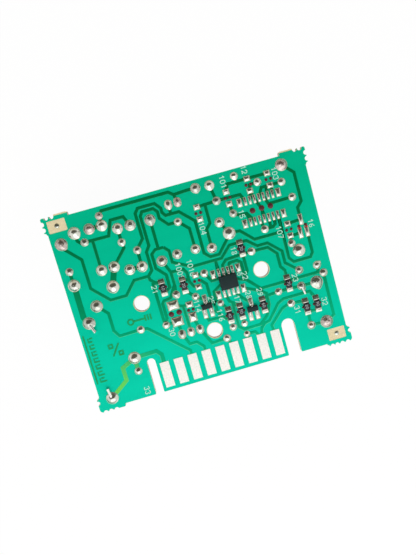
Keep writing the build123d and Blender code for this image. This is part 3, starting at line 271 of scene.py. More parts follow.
@functools.cache
def thin_patch():
    """The group of a soft round mask, for a place where the lacquer runs thin."""
    inputs = {"Vector": "Vector", "Middle": "Vector", "Radius": "Float"}
    group, given, out = add_group("thin_patch", inputs, {"Mask": "Float"})
    away = combine_vectors(group, "DISTANCE", given["Vector"], given["Middle"])
    beyond = share_between(group, away, 0, given["Radius"], interpolation_type="SMOOTHSTEP")
    feed(group, out, {"Mask": combine(group, "SUBTRACT", 1, beyond)})
    return group


# ---------- finishes ----------


def shaded(colour, share):
    """A colour made darker or lighter by a share."""
    return [channel * share for channel in colour]


def between(first, second, share):
    """A colour part of the way from one to another."""
    return [a + (b - a) * share for a, b in zip(first, second)]


def finish_of(
    name, colour, second=0.85, rough=(0.3, 0.5), metallic=0.0, cloud=400, grain=4000, bump=0.1, depth=0.00002,
    specular=0.5, stretch=(1, 1, 1),
):
    """A material whose colour, roughness and bump come from the mottled skin.

    Its second colour may be given as a share of the first. The stretch multiplies the scales along each axis.
    """
    material = bpy.data.materials.new(name)
    material.use_nodes = True
    tree = material.node_tree
    place = add_node(tree, "TexCoord", {})["Object"]
    skin = add_node(tree, "Group", {
        "Vector": add_node(tree, "Mapping", {"Vector": place, "Scale": stretch})["Vector"],
        "Cloud Scale": cloud,
        "Grain Scale": grain,
        "First Color": colour,
        "Second Color": shaded(colour, second) if isinstance(second, float) else second,
        "Smooth Roughness": rough[0],
        "Dull Roughness": rough[1],
    }, node_tree=mottled_skin(), name="skin")
    relief = add_node(tree, "Bump", {"Strength": bump, "Distance": depth, "Height": skin["Height"]})
    feed(tree, tree.nodes["Principled BSDF"], {
        "Base Color": skin["Color"],
        "Roughness": skin["Roughness"],
        "Normal": relief["Normal"],
        "Metallic": metallic,
        "Specular IOR Level": specular,
    })
    return material


def painted_light_finish(name, colours, patch=None, **finish):
    """A mottled finish whose colour also shifts along the board, as painted light that is brighter towards
    the lamp beyond the contacts.

    The patch is a thin place's middle, radius and colour.
    """
    material = finish_of(name, colours[0], **finish)
    tree = material.node_tree
    place = add_node(tree, "TexCoord", {})["Object"]
    for label, share in (("First Color", 1.0), ("Second Color", 0.94)):
        tones = {f"{step} Color": shaded(colour, share) for (step, _), colour in zip(PAINTED_LIGHT_PLACES, colours)}
        result = add_node(tree, "Group", {"Vector": place, **tones}, node_tree=painted_light_ramp())["Color"]
        if patch:
            middle, radius, colour = patch
            spot = {"Vector": place, "Middle": middle, "Radius": radius}
            mask = add_node(tree, "Group", spot, node_tree=thin_patch())["Mask"]
            result = mix_colours(tree, mask, result, shaded(colour, share))
        feed(tree, tree.nodes["skin"], {label: result})
    return material


@functools.cache
def bright_finish():
    """Fresh solder."""
    return finish_of(
        "bright_solder", bpy.context.scene.solder_settings.colour, 0.86, rough=(0.10, 0.24), metallic=1.0,
        cloud=900, grain=5200, bump=0.3, depth=0.00004,
    )


@functools.cache
def dull_finish():
    """Solder that froze with a grainy, rosy skin."""
    return finish_of(
        "dull_solder", (0.46, 0.40, 0.37), (0.31, 0.27, 0.25), rough=(0.2, 0.34), metallic=1.0, cloud=1400,
        grain=6500, bump=0.6, depth=0.00006,
    )


@functools.cache
def rim_finish():
    """Resin and thin tin around a land."""
    return finish_of(
        "land_rim", (0.46, 0.47, 0.34), (0.32, 0.37, 0.25), cloud=1600, grain=8000, bump=0.3, specular=0.3
    )


@functools.cache
def aged_finish():
    """Solder that has lost some of its shine."""
    solder = bpy.context.scene.solder_settings.colour
    return finish_of(
        "aged_solder", shaded(solder, 0.82), shaded(solder, 0.62), rough=(0.12, 0.3), metallic=1.0,
        cloud=1100, grain=5200, bump=0.4, depth=0.00004,
    )


BRIGHT, DULL, RIM, AGED = range(4)  # the slots of these finishes in a piece of joints


def joint_finishes():
    """The materials of a piece of joints, in the order of their slots."""
    return [bright_finish(), dull_finish(), rim_finish(), aged_finish()]


def wire_finish():
    """Tinned wire, drawn lengthwise."""
    return finish_of(
        "tinned_wire", (0.74, 0.73, 0.70), (0.60, 0.59, 0.56), rough=(0.18, 0.34), metallic=1.0, cloud=1200,
        grain=9000, bump=0.2, stretch=(1, 1, 0.2),
    )


@functools.cache
def moulding_finish():
    """Black moulding compound."""
    return finish_of(
        "black_moulding", bpy.context.scene.part_settings.moulding, (0.016, 0.030, 0.031), rough=(0.42, 0.62),
        cloud=700, grain=14000, bump=0.3, depth=0.00001, specular=0.12,
    )


# ---------- mesh helpers ----------


def at(x, y, z=0.0):
    """Board coordinates in millimetres to the frame's metres."""
    return (Vector((x, y, z)) + CORNER) * MM


# A solid's lowest and highest corners, its middle and its size, in board millimetres.
Solid = collections.namedtuple("Solid", "low high middle size")


def solid_between(low, high):
    """The solid between two corners in the frame's metres."""
    low, high = low / MM - CORNER, high / MM - CORNER
    return Solid(low, high, (low + high) / 2, high - low)


def solids_of(node):
    """The separate solids of a CAD node in plan order."""
    mesh = bmesh.new()
    mesh.from_mesh(NODES[node].data)
    bmesh.ops.remove_doubles(mesh, verts=mesh.verts, dist=SAME_PLACE)
    unseen = set(mesh.verts)
    found = []
    while unseen:
        stack = [unseen.pop()]
        reached = []
        while stack:
            vert = stack.pop()
            reached.append(vert.co.copy())
            others = {edge.other_vert(vert) for edge in vert.link_edges} & unseen
            unseen -= others
            stack += others
        corners = (Vector([pick(co[axis] for co in reached) for axis in range(3)]) for pick in (min, max))
        found.append(solid_between(*corners))
    mesh.free()
    return sorted(found, key=lambda solid: [round(place, 3) for place in solid.low])


def piece_from(mesh, name, materials, replaced=(), smooth=40):
    """The finished object, shaded smooth up to an angle.

    It rides on the board, holds its materials, and hides the CAD nodes that it stands for.
    """
    bmesh.ops.recalc_face_normals(mesh, faces=mesh.faces)
    data = bpy.data.meshes.new(name)
    mesh.to_mesh(data)
    mesh.free()
    for material in materials:
        data.materials.append(material)
    data.polygons.foreach_set("use_smooth", [bool(smooth)] * len(data.polygons))
    if smooth:
        data.set_sharp_from_angle(angle=math.radians(smooth))
    piece = bpy.data.objects.new(name, data)
    bpy.context.scene.collection.objects.link(piece)
    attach(piece, "root")
    if replaced:
        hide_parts(*replaced)


def redress(nodes, material):
    """Gives CAD nodes that keep their shape a new material."""
    for name in nodes:
        data = NODES[name].data
        data.materials.clear()
        data.materials.append(material)


def add_turned(mesh, profile, segments, place, shift=None):
    """A surface turned about Z from (radius, height, material) points, placed by a matrix.

    The shift gives how far a point moves, to make the skin uneven. Each band has its upper point's material.
    """
    rings = []
    for radius, height, _ in profile:
        if not radius:
            rings.append([mesh.verts.new(place @ Vector((0, 0, height)))])
            continue
        ring = []
        for step in range(segments):
            angle = 2 * math.pi * step / segments
            point = Vector((radius * math.cos(angle), radius * math.sin(angle), height))
            if shift:
                point += shift(point)
            ring.append(mesh.verts.new(place @ point))
        rings.append(ring)
    for lower, upper, (*_, material) in zip(rings, rings[1:], profile[1:]):
        for step in range(segments):
            after = step + 1
            corners = [
                lower[step % len(lower)], lower[after % len(lower)],
                upper[after % len(upper)], upper[step % len(upper)],
            ]
            distinct = list(dict.fromkeys(corners))
            mesh.faces.new(distinct).material_index = material


def add_field(mesh, middle, size, height_at, steps, rim=0, base=0.0):
    """A cushion over a rectangle, whose height_at gives its height at (-1..1, -1..1).

    A skirt closes it to the base. The skirt and the outermost faces have the rim's material.
    """
    across, along = steps

    def add_corner(i, j):
        u, v = -1 + 2 * i / across, -1 + 2 * j / along
        return mesh.verts.new(at(middle.x + u * size.x / 2, middle.y + v * size.y / 2, height_at(u, v)))

    rows = [[add_corner(i, j) for i in range(across + 1)] for j in range(along + 1)]
    for j in range(along):
        for i in range(across):
            quad = (rows[j][i], rows[j][i + 1], rows[j + 1][i + 1], rows[j + 1][i])
            outer = i in (0, across - 1) or j in (0, along - 1)
            mesh.faces.new(quad).material_index = rim if outer else 0
    border = rows[0][:-1] + [row[-1] for row in rows[:-1]] + rows[-1][:0:-1] + [row[0] for row in rows[:0:-1]]
    ground = at(0, 0, base).z
    feet = [mesh.verts.new((vert.co.x, vert.co.y, ground)) for vert in border]
    add_wall(mesh, border, feet, rim)
    mesh.faces.new(feet[::-1]).material_index = rim


def add_wall(mesh, first, second, material):
    """A closed band of faces between two loops of corners."""
    for step in range(len(first)):
        after = (step + 1) % len(first)
        mesh.faces.new((first[step], first[after], second[after], second[step])).material_index = material


def add_block(mesh, low, high, rounding, material=0, draft=0.0):
    """A block between two corners in board millimetres, with rounded edges and, if wanted, drafted sides."""
    low, high = Vector(low), Vector(high)
    made = bmesh.ops.create_cube(mesh, size=1.0)["verts"]
    middle, size = (low + high) / 2, high - low
    for vert in made:
        point = vert.co * size
        if vert.co.z > 0:
            point.x -= math.copysign(draft, point.x)
            point.y -= math.copysign(draft, point.y)
        vert.co = at(*(middle + point))
    edges = list({edge for vert in made for edge in vert.link_edges})
    faces = {face for vert in made for face in vert.link_faces}
    result = bmesh.ops.bevel(mesh, geom=edges, offset=rounding * MM, segments=3, profile=0.5, affect="EDGES")
    for face in faces | set(result["faces"]):
        if face.is_valid:
            face.material_index = material


def add_stroke(mesh, start, end, width, bottom, top, material=0):
    """One straight printed or etched stroke with half round ends, in board millimetres."""
    start, end = Vector(start), Vector(end)
    heading = math.atan2(end.y - start.y, end.x - start.x)
    outline = []
    for tip, base in ((end, heading - math.pi / 2), (start, heading + math.pi / 2)):
        for step in range(5):
            angle = base + math.pi * step / 4
            outline.append(tip + Vector((math.cos(angle), math.sin(angle))) * width / 2)
    strokes_before = len(mesh.faces) // (len(outline) + 2)
    top += 0.003 * (strokes_before % 4)  # strokes that cross don't share a plane
    lower = [mesh.verts.new(at(point.x, point.y, bottom)) for point in outline]
    upper = [mesh.verts.new(at(point.x, point.y, top)) for point in outline]
    mesh.faces.new(upper).material_index = material
    mesh.faces.new(lower[::-1]).material_index = material
    add_wall(mesh, lower, upper, material)


def add_strokes(mesh, points, *stroke):
    """Strokes from each point to the next."""
    for first, second in zip(points, points[1:]):
        add_stroke(mesh, first, second, *stroke)


def ring_around(x, y, radius):
    """The points of a round ring, whose first and last are one."""
    strokes = 16
    angles = [2 * math.pi * step / strokes for step in range(strokes + 1)]
    return [(x + radius * math.cos(angle), y + radius * math.sin(angle)) for angle in angles]


def smooth_step(value):
    """A share held between 0 and 1 and eased at both ends."""
    value = min(max(value, 0.0), 1.0)
    return value * value * (3 - 2 * value)


# ---------- solder ----------


# Joints that are not smooth round caps, by board X and Y: how rough each one's skin is, and its finish.
ODD_JOINTS = {
    (10.78, 48.27): (1.5, DULL), (14.25, 50.9): (1.2, DULL), (35.22, 48.85): (1.0, DULL),
    (64.65, 51.0): (1.3, DULL), (66.1, 6.33): (2.0, DULL), (2.6, 46.32): (2.0, DULL),
    (66.1, 17.77): (2.2, AGED), (3.45, 24.05): (1.2, AGED), (26.9, 46.3): (1.8, AGED),
    (21.43, 46.3): (1.8, AGED), (2.6, 34.88): (2.4, BRIGHT),
}
# Joints drawn out along a lead or a track, by board X and Y: the tail's heading in degrees, and its share of
# the radius.
TAILS = {
    (2.6, 46.32): (-62, 0.22), (26.9, 46.3): (-90, 0.25), (6.72, 48.26): (-60, 0.12),
    (14.22, 48.27): (-85, 0.05), (8.6, 45.2): (-50, 0.08), (18.0, 46.4): (-86, 0.14),
    (18.0, 42.6): (-80, 0.2), (21.4, 39.5): (-80, 0.16), (2.5, 38.8): (-76, 0.18), (12.4, 31.8): (-87, 0.06),
    (67.34, 22.3): (34, 0.3), (61.7, 17.9): (-57, 0.4), (66.1, 17.77): (-79, 0.25),
    (36.95, 28.6): (-65, 0.18), (40.8, 51.1): (-86, 0.1), (32.68, 48.85): (-87, 0.25),
    (24.3, 22.0): (-84, 0.15), (51.6, 51.5): (-84, 0.18), (28.1, 25.1): (-70, 0.15),
    (44.6, 50.83): (-86, 0.14),
}
NEAR = 0.5  # a joint's middle lies within this many millimetres of its place in these tables
RIM_WIDTH = 0.08
CAP_RINGS = 13


def entry_near(table, middle, otherwise):
    """What a table by board X and Y says of the joint at a place."""
    return next((entry for place, entry in table.items() if math.dist(place, middle.xy) < NEAR), otherwise)


def add_joint(mesh, land, height, seed, roughness=1.0, sharpness=2.0, slot=BRIGHT, tail=(0, 0)):
    """A cap of solder on a land, with a soft rim, an uneven skin and, if wanted, a tail."""
    solder = bpy.context.scene.solder_settings
    rim = solder.rim / MM
    rough = solder.unevenness / MM * roughness
    radius = land.size.x / 2
    stretch = land.size.y / land.size.x
    inner = radius - RIM_WIDTH
    profile = [(radius, -0.001, slot), (radius, rim * 0.7, RIM), (inner, rim, RIM)]
    for step in range(1, CAP_RINGS + 1):
        share = 1 - step / CAP_RINGS
        profile.append((inner * share, rim + (height - rim) * (1 - share ** sharpness), slot))
    offset = Vector((seed * 7.31, seed * 3.17, seed * 1.93))
    heading, drawn = tail
    towards = Vector((math.cos(math.radians(heading)), math.sin(math.radians(heading)), 0))

    def uneven(point):
        flat = Vector((point.x, point.y, 0))
        share = flat.length / radius
        nearness = max(flat.normalized().dot(towards), 0) ** 14
        pull = flat * drawn * nearness * share
        if point.z < rim:
            return pull
        swell = 1.5 * noise.noise(flat * 0.9 / radius + offset)
        swell += 0.5 * noise.noise(flat * 2.6 / radius + offset)
        keep = smooth_step((1 - share) * 4) * (0.2 + 0.8 * smooth_step(share * 2.2))
        return pull + Vector((0, 0, swell * rough * keep * (0.4 + radius)))

    place = Matrix.Translation(at(*land.middle.xy)) @ Matrix.Diagonal((MM, MM * stretch, MM, 1))
    add_turned(mesh, profile, 48, place, uneven)


def joint_piece(node, name, rise, seed):
    """The caps of solder that stand for a CAD node of joints, which rise by shares between two limits."""
    mesh = bmesh.new()
    chance = random.Random(seed)
    for number, land in enumerate(solids_of(node)):
        height = land.size.x * chance.uniform(*rise)
        sharpness = chance.uniform(1.85, 2.15)
        usual = chance.uniform(0.6, 1.3), chance.choice((BRIGHT, BRIGHT, BRIGHT, AGED))
        roughness, slot = entry_near(ODD_JOINTS, land.middle, usual)
        tail = entry_near(TAILS, land.middle, (0, 0))
        add_joint(mesh, land, height, seed * 5 + number, roughness, sharpness, slot, tail)
    piece_from(mesh, name, joint_finishes(), [node], 60)


class BOARD_OT_lead_joints(Operator):
    """Solder joints that hold the leads"""

    bl_idname = "board.lead_joints"
    bl_label = "Lead Joints"

    def execute(self, context):
        rise = context.scene.solder_settings.rise
        joint_piece("lead_solder_joints", "solder_joints", (rise, rise * 1.05), 7)
        return {"FINISHED"}


class BOARD_OT_test_points(Operator):
    """Solder on the test points and the empty holes"""

    bl_idname = "board.test_points"
    bl_label = "Test Points"

    def execute(self, context):
        rise = context.scene.solder_settings.rise
        joint_piece("test_point_solder", "test_point_domes", (rise * 0.84, rise * 0.98), 11)
        mesh = bmesh.new()
        for number, pad in enumerate(solids_of("fiducial_pads")):
            add_joint(mesh, pad, pad.size.x * 0.16, 90 + number, 0.6, slot=AGED)
        piece_from(mesh, "fiducial_domes", joint_finishes(), ["fiducial_pads"], 60)
        return {"FINISHED"}


class BOARD_OT_land_solder(Operator):
    """Pillows of solder on the rectangular lands and tapers up to the parts"""

    bl_idname = "board.land_solder"
    bl_label = "Land Solder"

    def execute(self, context):
        lands = solids_of("solder_lands")
        self.add_pillows(lands)
        self.add_tapers(lands)
        return {"FINISHED"}

    def add_pillows(self, lands):
        """Solder over whole lands, with a crown where no part covers them."""
        mesh = bmesh.new()
        chance = random.Random(23)
        edge_top = 0.07
        for land in lands:
            bare = land.high.z > LAND_TOP + 0.05
            crown = 0.27 * min(land.size.xy) * chance.uniform(0.85, 1.1) if bare else 0.06
            lean = chance.uniform(-0.15, 0.15)
            seed = Vector((chance.uniform(0, 9), chance.uniform(0, 9), 0))

            def height_at(u, v):
                inside = (1 - abs(u) ** 3) * (1 - 0.6 * v * v - 0.4 * v ** 6)
                swell = 1 + lean * v + 0.25 * noise.noise(Vector((u * 1.3, v * 1.3, 0)) + seed)
                return edge_top + (LAND_TOP - edge_top + crown * swell) * max(inside, 0)

            add_field(mesh, land.middle, land.size, height_at, (12, 14), RIM)
        piece_from(mesh, "land_solder", joint_finishes(), ["solder_lands"], 50)

    def add_tapers(self, lands):
        """Solder that climbs from the lands to the ends of the parts."""
        mesh = bmesh.new()
        for taper in solids_of("surface_solder_fillets"):
            outward = self.outward_way(taper, lands)

            def height_at(u, v):
                out = (1 + outward * v) / 2
                sag = (1 - out) ** 1.7
                return LAND_TOP - 0.02 + taper.size.z * sag * (1 - 0.35 * abs(u) ** 3)

            add_field(mesh, taper.middle, taper.size, height_at, (8, 10))
        piece_from(mesh, "toe_solder", [aged_finish()], ["surface_solder_fillets"], 50)

    def outward_way(self, taper, lands):
        """Which way along Y a taper runs out from its part: towards the nearer end of the land under it."""
        reach = 0.1
        for land in lands:
            if all(
                land.low[axis] - reach <= taper.low[axis] and taper.high[axis] <= land.high[axis] + reach
                for axis in (0, 1)
            ):
                return 1 if land.high.y - taper.high.y < taper.low.y - land.low.y else -1
        raise RuntimeError(f"no land under the taper at {tuple(taper.middle)}")


# ---------- adhesive ----------


# Where adhesive has run onto the lands of the empty transistor, by board X and Y.
SMEARS = [(65.2, 33.3), (67.15, 33.25)]
SMEAR_RADIUS = 0.36
SMEAR_TOP = 0.43


def add_drop(mesh, middle, radius, top, seed):
    """A rounded drop of adhesive."""
    height = top - RESIST_TOP
    profile = [(radius * 1.02, 0.0, 0)]
    rings = 6
    for step in range(rings):
        angle = math.pi / 2 * step / rings
        profile.append((radius * math.cos(angle), height * math.sin(angle), 0))
    profile.append((0, height, 0))
    offset = Vector((seed, seed * 2, 0))

    def uneven(point):
        return Vector((0, 0, 0.05 * radius * noise.noise(point * 2 / radius + offset)))

    place = Matrix.Translation(at(*middle, RESIST_TOP)) @ Matrix.Scale(MM, 4)
    add_turned(mesh, profile, 24, place, uneven)


class BOARD_OT_adhesive(Operator):
    """Adhesive under the chips and on the bare footprints"""

    bl_idname = "board.adhesive"
    bl_label = "Adhesive"

    def execute(self, context):
        solder = context.scene.solder_settings
        skin = {"rough": (0.2, 0.4), "cloud": 2500, "grain": 9000, "bump": 0.2, "specular": 0.25}
        cured = finish_of("cured_adhesive", solder.adhesive, 1.6, **skin)
        for name in ("chip_glue", "glue_dots"):
            mesh = bmesh.new()
            for number, drop in enumerate(solids_of(name)):
                add_drop(mesh, drop.middle.xy, max(drop.size.xy) / 2, drop.high.z, number * 1.7)
            piece_from(mesh, f"{name}_drops", [cured], [name], 60)
        smeared = finish_of("smeared_adhesive", solder.adhesive_smear, 0.7, **skin)
        mesh = bmesh.new()
        for number, middle in enumerate(SMEARS):
            add_drop(mesh, middle, SMEAR_RADIUS, SMEAR_TOP, number * 2.3)
        piece_from(mesh, "adhesive_smears", [smeared], smooth=60)
        return {"FINISHED"}


# ---------- board ----------


class BOARD_OT_board_layers(Operator):
    """Laminate, resist and contacts"""

    bl_idname = "board.board_layers"
    bl_label = "Board Layers"

    def execute(self, context):
        board = context.scene.board_settings
        redress(["circuit_board"], self.laminate_finish(board))
        redress(["solder_resist"], self.resist_finish(board))
        redress(["edge_contacts"], self.contact_finish())
        return {"FINISHED"}

    def laminate_finish(self, board):
        """Paper and resin, warmer on its face than on its cut edges."""
        material = finish_of(
            "laminate", board.laminate, 0.86, rough=(0.45, 0.65), cloud=500, grain=7000, bump=0.35,
            specular=0.2, stretch=(1, 2.2, 1),
        )
        tree = material.node_tree
        normal = add_node(tree, "TexCoord", {})["Normal"]
        upright = combine(tree, "ABSOLUTE", add_node(tree, "SeparateXYZ", {0: normal})["Z"])
        skin = tree.nodes["skin"].outputs["Color"]
        colour = mix_colours(tree, upright, board.laminate_edge, skin)
        feed(tree, tree.nodes["Principled BSDF"], {"Base Color": colour})
        return material

    def resist_finish(self, board):
        """Green lacquer on bare laminate, streaked across the board, with painted light that makes it lighter
        towards the contacts.
        """
        # These shades step from the far edge to the contacts as painted light from the lamp.
        shades = [between(board.resist, board.resist_lit_side, share) for share in (0, 0.33, 0.62, 1)]
        return painted_light_finish(
            "green_resist", shades, rough=(0.26, 0.4), cloud=160, grain=2600, bump=0.12, specular=0.02,
            stretch=(0.3, 1.5, 1),
        )

    def contact_finish(self):
        """Levelled tin with a few grey specks."""
        return finish_of(
            "levelled_tin", (0.88, 0.87, 0.83), (0.72, 0.70, 0.66), metallic=0.15, cloud=2600, grain=7000,
            bump=0.3, depth=0.00003,
        )


# The thin place in the lacquer over the copper: its board X and Y, and its radius.
THIN_PLACE = (4.6, 3.4)
THIN_RADIUS = 17
TRACK_SKIN = {"cloud": 500, "grain": 4200, "bump": 0.2}


class BOARD_OT_tracks(Operator):
    """Copper tracks under the resist, with sloping edges; the slopes that face the contacts carry a painted
    highlight
    """

    bl_idname = "board.tracks"
    bl_label = "Tracks"

    def execute(self, context):
        board = context.scene.board_settings
        crown_height = at(0, 0, TRACK_TOP).z
        slope_drop = 0.042 * MM
        mesh = bmesh.new()
        mesh.from_mesh(NODES["copper_tracks"].data)
        bmesh.ops.remove_doubles(mesh, verts=mesh.verts, dist=SAME_PLACE)
        mesh.faces.ensure_lookup_table()
        nearly = crown_height - 0.01 * MM
        crown = [face for face in mesh.faces if all(vert.co.z > nearly for vert in face.verts)]
        ring = bmesh.ops.inset_region(
            mesh, faces=crown, use_boundary=True, use_even_offset=True, thickness=board.track_slope,
        )["faces"]
        inner = {vert for face in crown for vert in face.verts}
        for face in ring:
            inside = [vert.co for vert in face.verts if vert in inner]
            outward = face.calc_center_median() - sum(inside, Vector()) / len(inside)
            # Slopes that face the contacts face the lamp and get the painted highlight.
            towards_contacts = outward.y < -0.4 * outward.length
            face.material_index = 1 if towards_contacts else 0
        for vert in {vert for face in ring for vert in face.verts} - inner:
            vert.co.z -= slope_drop
        piece_from(
            mesh, "lacquered_tracks", self.track_finishes(board), ["copper_tracks"], 0
        )
        return {"FINISHED"}

    def track_finishes(self, board):
        """Lacquer on the copper, and a painted highlight on the slopes that face the contacts and the lamp
        beyond them.
        """
        # The track shades also step as painted light, lighter towards the lamp beyond the contacts.
        shades = [between(board.track, board.track_lit_side, share) for share in (0, 0.09, 0.4, 1)]
        # Each slope colour leans towards the painted highlight, more so near the lamp.
        slopes = [between(shade, board.track_edge_highlight, share) for shade, share in zip(shades, (0, 0.1, 0.4, 0.9))]
        patch = (at(*THIN_PLACE, TRACK_TOP), THIN_RADIUS * MM, board.track_thin)
        core = painted_light_finish(
            "resist_over_copper", shades, patch, rough=(0.28, 0.45), specular=0.02, **TRACK_SKIN
        )
        edge = painted_light_finish("painted_highlight_edge", slopes, rough=(0.25, 0.4), specular=0.08, **TRACK_SKIN)
        return [core, edge]


# The line of each plain numeral, as shares of its height: from its left side and from its foot.
DIGIT_LINES = {
    "0": [(0, 0.2), (0, 0.8), (0.2, 1), (0.4, 1), (0.6, 0.8), (0.6, 0.2), (0.4, 0), (0.2, 0), (0, 0.2)],
    "1": [(0.1, 0.75), (0.35, 1), (0.35, 0)],
    "2": [(0, 0.8), (0.15, 1), (0.45, 1), (0.6, 0.8), (0.6, 0.6), (0, 0), (0.6, 0)],
    "3": [(0, 0.9), (0.15, 1), (0.45, 1), (0.6, 0.8), (0.4, 0.55), (0.6, 0.3), (0.45, 0), (0.15, 0),
          (0, 0.15)],
    "4": [(0.5, 0), (0.5, 1), (0, 0.3), (0.65, 0.3)],
    "5": [(0.6, 1), (0.05, 1), (0, 0.55), (0.4, 0.6), (0.6, 0.4), (0.6, 0.15), (0.4, 0), (0.1, 0), (0, 0.1)],
    "6": [(0.5, 1), (0.1, 0.7), (0, 0.3), (0.15, 0), (0.45, 0), (0.6, 0.25), (0.45, 0.5), (0.05, 0.45)],
    "7": [(0, 1), (0.6, 1), (0.2, 0)],
    "8": [(0.3, 0.53), (0.05, 0.75), (0.2, 1), (0.4, 1), (0.55, 0.75), (0.3, 0.53), (0, 0.25), (0.15, 0),
          (0.45, 0), (0.6, 0.25), (0.3, 0.53)],
    "9": [(0.1, 0), (0.5, 0.3), (0.6, 0.7), (0.45, 1), (0.15, 1), (0, 0.75), (0.15, 0.5), (0.55, 0.55)],
}
DIGIT_PITCH = 0.92
DIGIT_HALF = 0.3
# Printed numbers: X and Y of each one's middle and how many digits it has. They count in reading order.
NUMERAL_PLACES = [
    (48.3, 50.8, 3), (54.6, 52.4, 2), (62.4, 49.3, 3), (39.8, 40.4, 3), (51.0, 41.2, 2), (68.6, 33.8, 2),
    (59.7, 33.7, 3), (46.3, 32.3, 2), (30.7, 31.0, 4), (33.9, 31.0, 4), (22.9, 28.0, 2), (47.4, 25.0, 2),
    (60.6, 20.6, 2), (32.8, 20.5, 3), (36.8, 21.0, 2), (38.2, 16.3, 3), (43.8, 19.8, 3), (47.0, 19.6, 2),
    (50.2, 19.5, 2), (24.2, 15.5, 2), (59.0, 11.8, 2), (66.9, 12.0, 2), (13.2, 1.8, 2),
]


def add_numeral(mesh, text, middle, height, *stroke):
    """A plain number with its middle at the given place, which reads towards the contacts."""
    pitch = DIGIT_PITCH * height
    start = -pitch * (len(text) - 1) / 2 - DIGIT_HALF * height
    for place, digit in enumerate(text):
        spots = [
            (middle[0] + (up - 0.5) * height, middle[1] - (start + place * pitch + across * height))
            for across, up in DIGIT_LINES[digit]
        ]
        add_strokes(mesh, spots, *stroke)


class BOARD_OT_legend(Operator):
    """Printed numerals and the ring at the first pin"""

    bl_idname = "board.legend"
    bl_label = "Legend"

    def execute(self, context):
        board = context.scene.board_settings
        ink = finish_of(
            "legend_ink", board.legend, 0.8, rough=(0.5, 0.7), cloud=3000, grain=12000, bump=0.2, specular=0.3
        )
        stroke = (board.legend_stroke / MM, RESIST_TOP, LEGEND_TOP)
        mesh = bmesh.new()
        for number, (x, y, digits) in enumerate(NUMERAL_PLACES, start=1):
            text = str(10 ** (digits - 1) + number)
            add_numeral(mesh, text, (x, y), board.legend_height / MM, *stroke)
        add_strokes(mesh, ring_around(46.0, 25.8, 0.4), *stroke)
        piece_from(mesh, "legend_numerals", [ink])
        return {"FINISHED"}


class BOARD_OT_etched_marks(Operator):
    """Plain etched marks along the left edge, covered by the resist"""

    bl_idname = "board.etched_marks"
    bl_label = "Etched Marks"

    def execute(self, context):
        mesh = bmesh.new()
        thin, plain, heavy = ((width, RESIST_TOP, TRACK_TOP) for width in (0.36, 0.42, 0.45))

        add_strokes(mesh, [(0.8, 7.4), (0.8, 21.0)], *plain)
        for step in range(7):
            y = 7.6 + step * 1.9
            half = y + 0.95
            add_strokes(mesh, [(1.8, y), (3.4 - 0.12 * step, y)], *plain)
            add_strokes(mesh, [(1.8, y), (1.8, half)], *thin)
            add_strokes(mesh, [(2.3, half), (2.9, half)], *thin)

        add_strokes(mesh, [(15.0, 21.2), (18.0, 21.2)], *heavy)
        add_strokes(mesh, ring_around(14.2, 21.2, 0.75), *plain)
        for step in range(3):
            x = 18.3 + 0.75 * step
            add_strokes(mesh, [(x, 20.6), (x, 21.9)], *plain)

        add_strokes(mesh, [(7.2, 13.6), (9.3, 16.6)], *heavy)
        turns = ((-0.5, -0.5), (0.5, -0.5), (0.5, 0.5), (-0.5, 0.5), (-0.5, -0.5))
        for x, y in ((7.1, 16.3), (9.4, 13.9)):
            add_strokes(mesh, [(x + right, y + up) for right, up in turns], *plain)

        finish = finish_of(
            "resist_over_marks", (0.012, 0.35, 0.13), (0.02, 0.29, 0.09), rough=(0.28, 0.45), specular=0.02,
            **TRACK_SKIN,
        )
        piece_from(mesh, "etched_marks", [finish])
        return {"FINISHED"}


# ---------- surface parts ----------


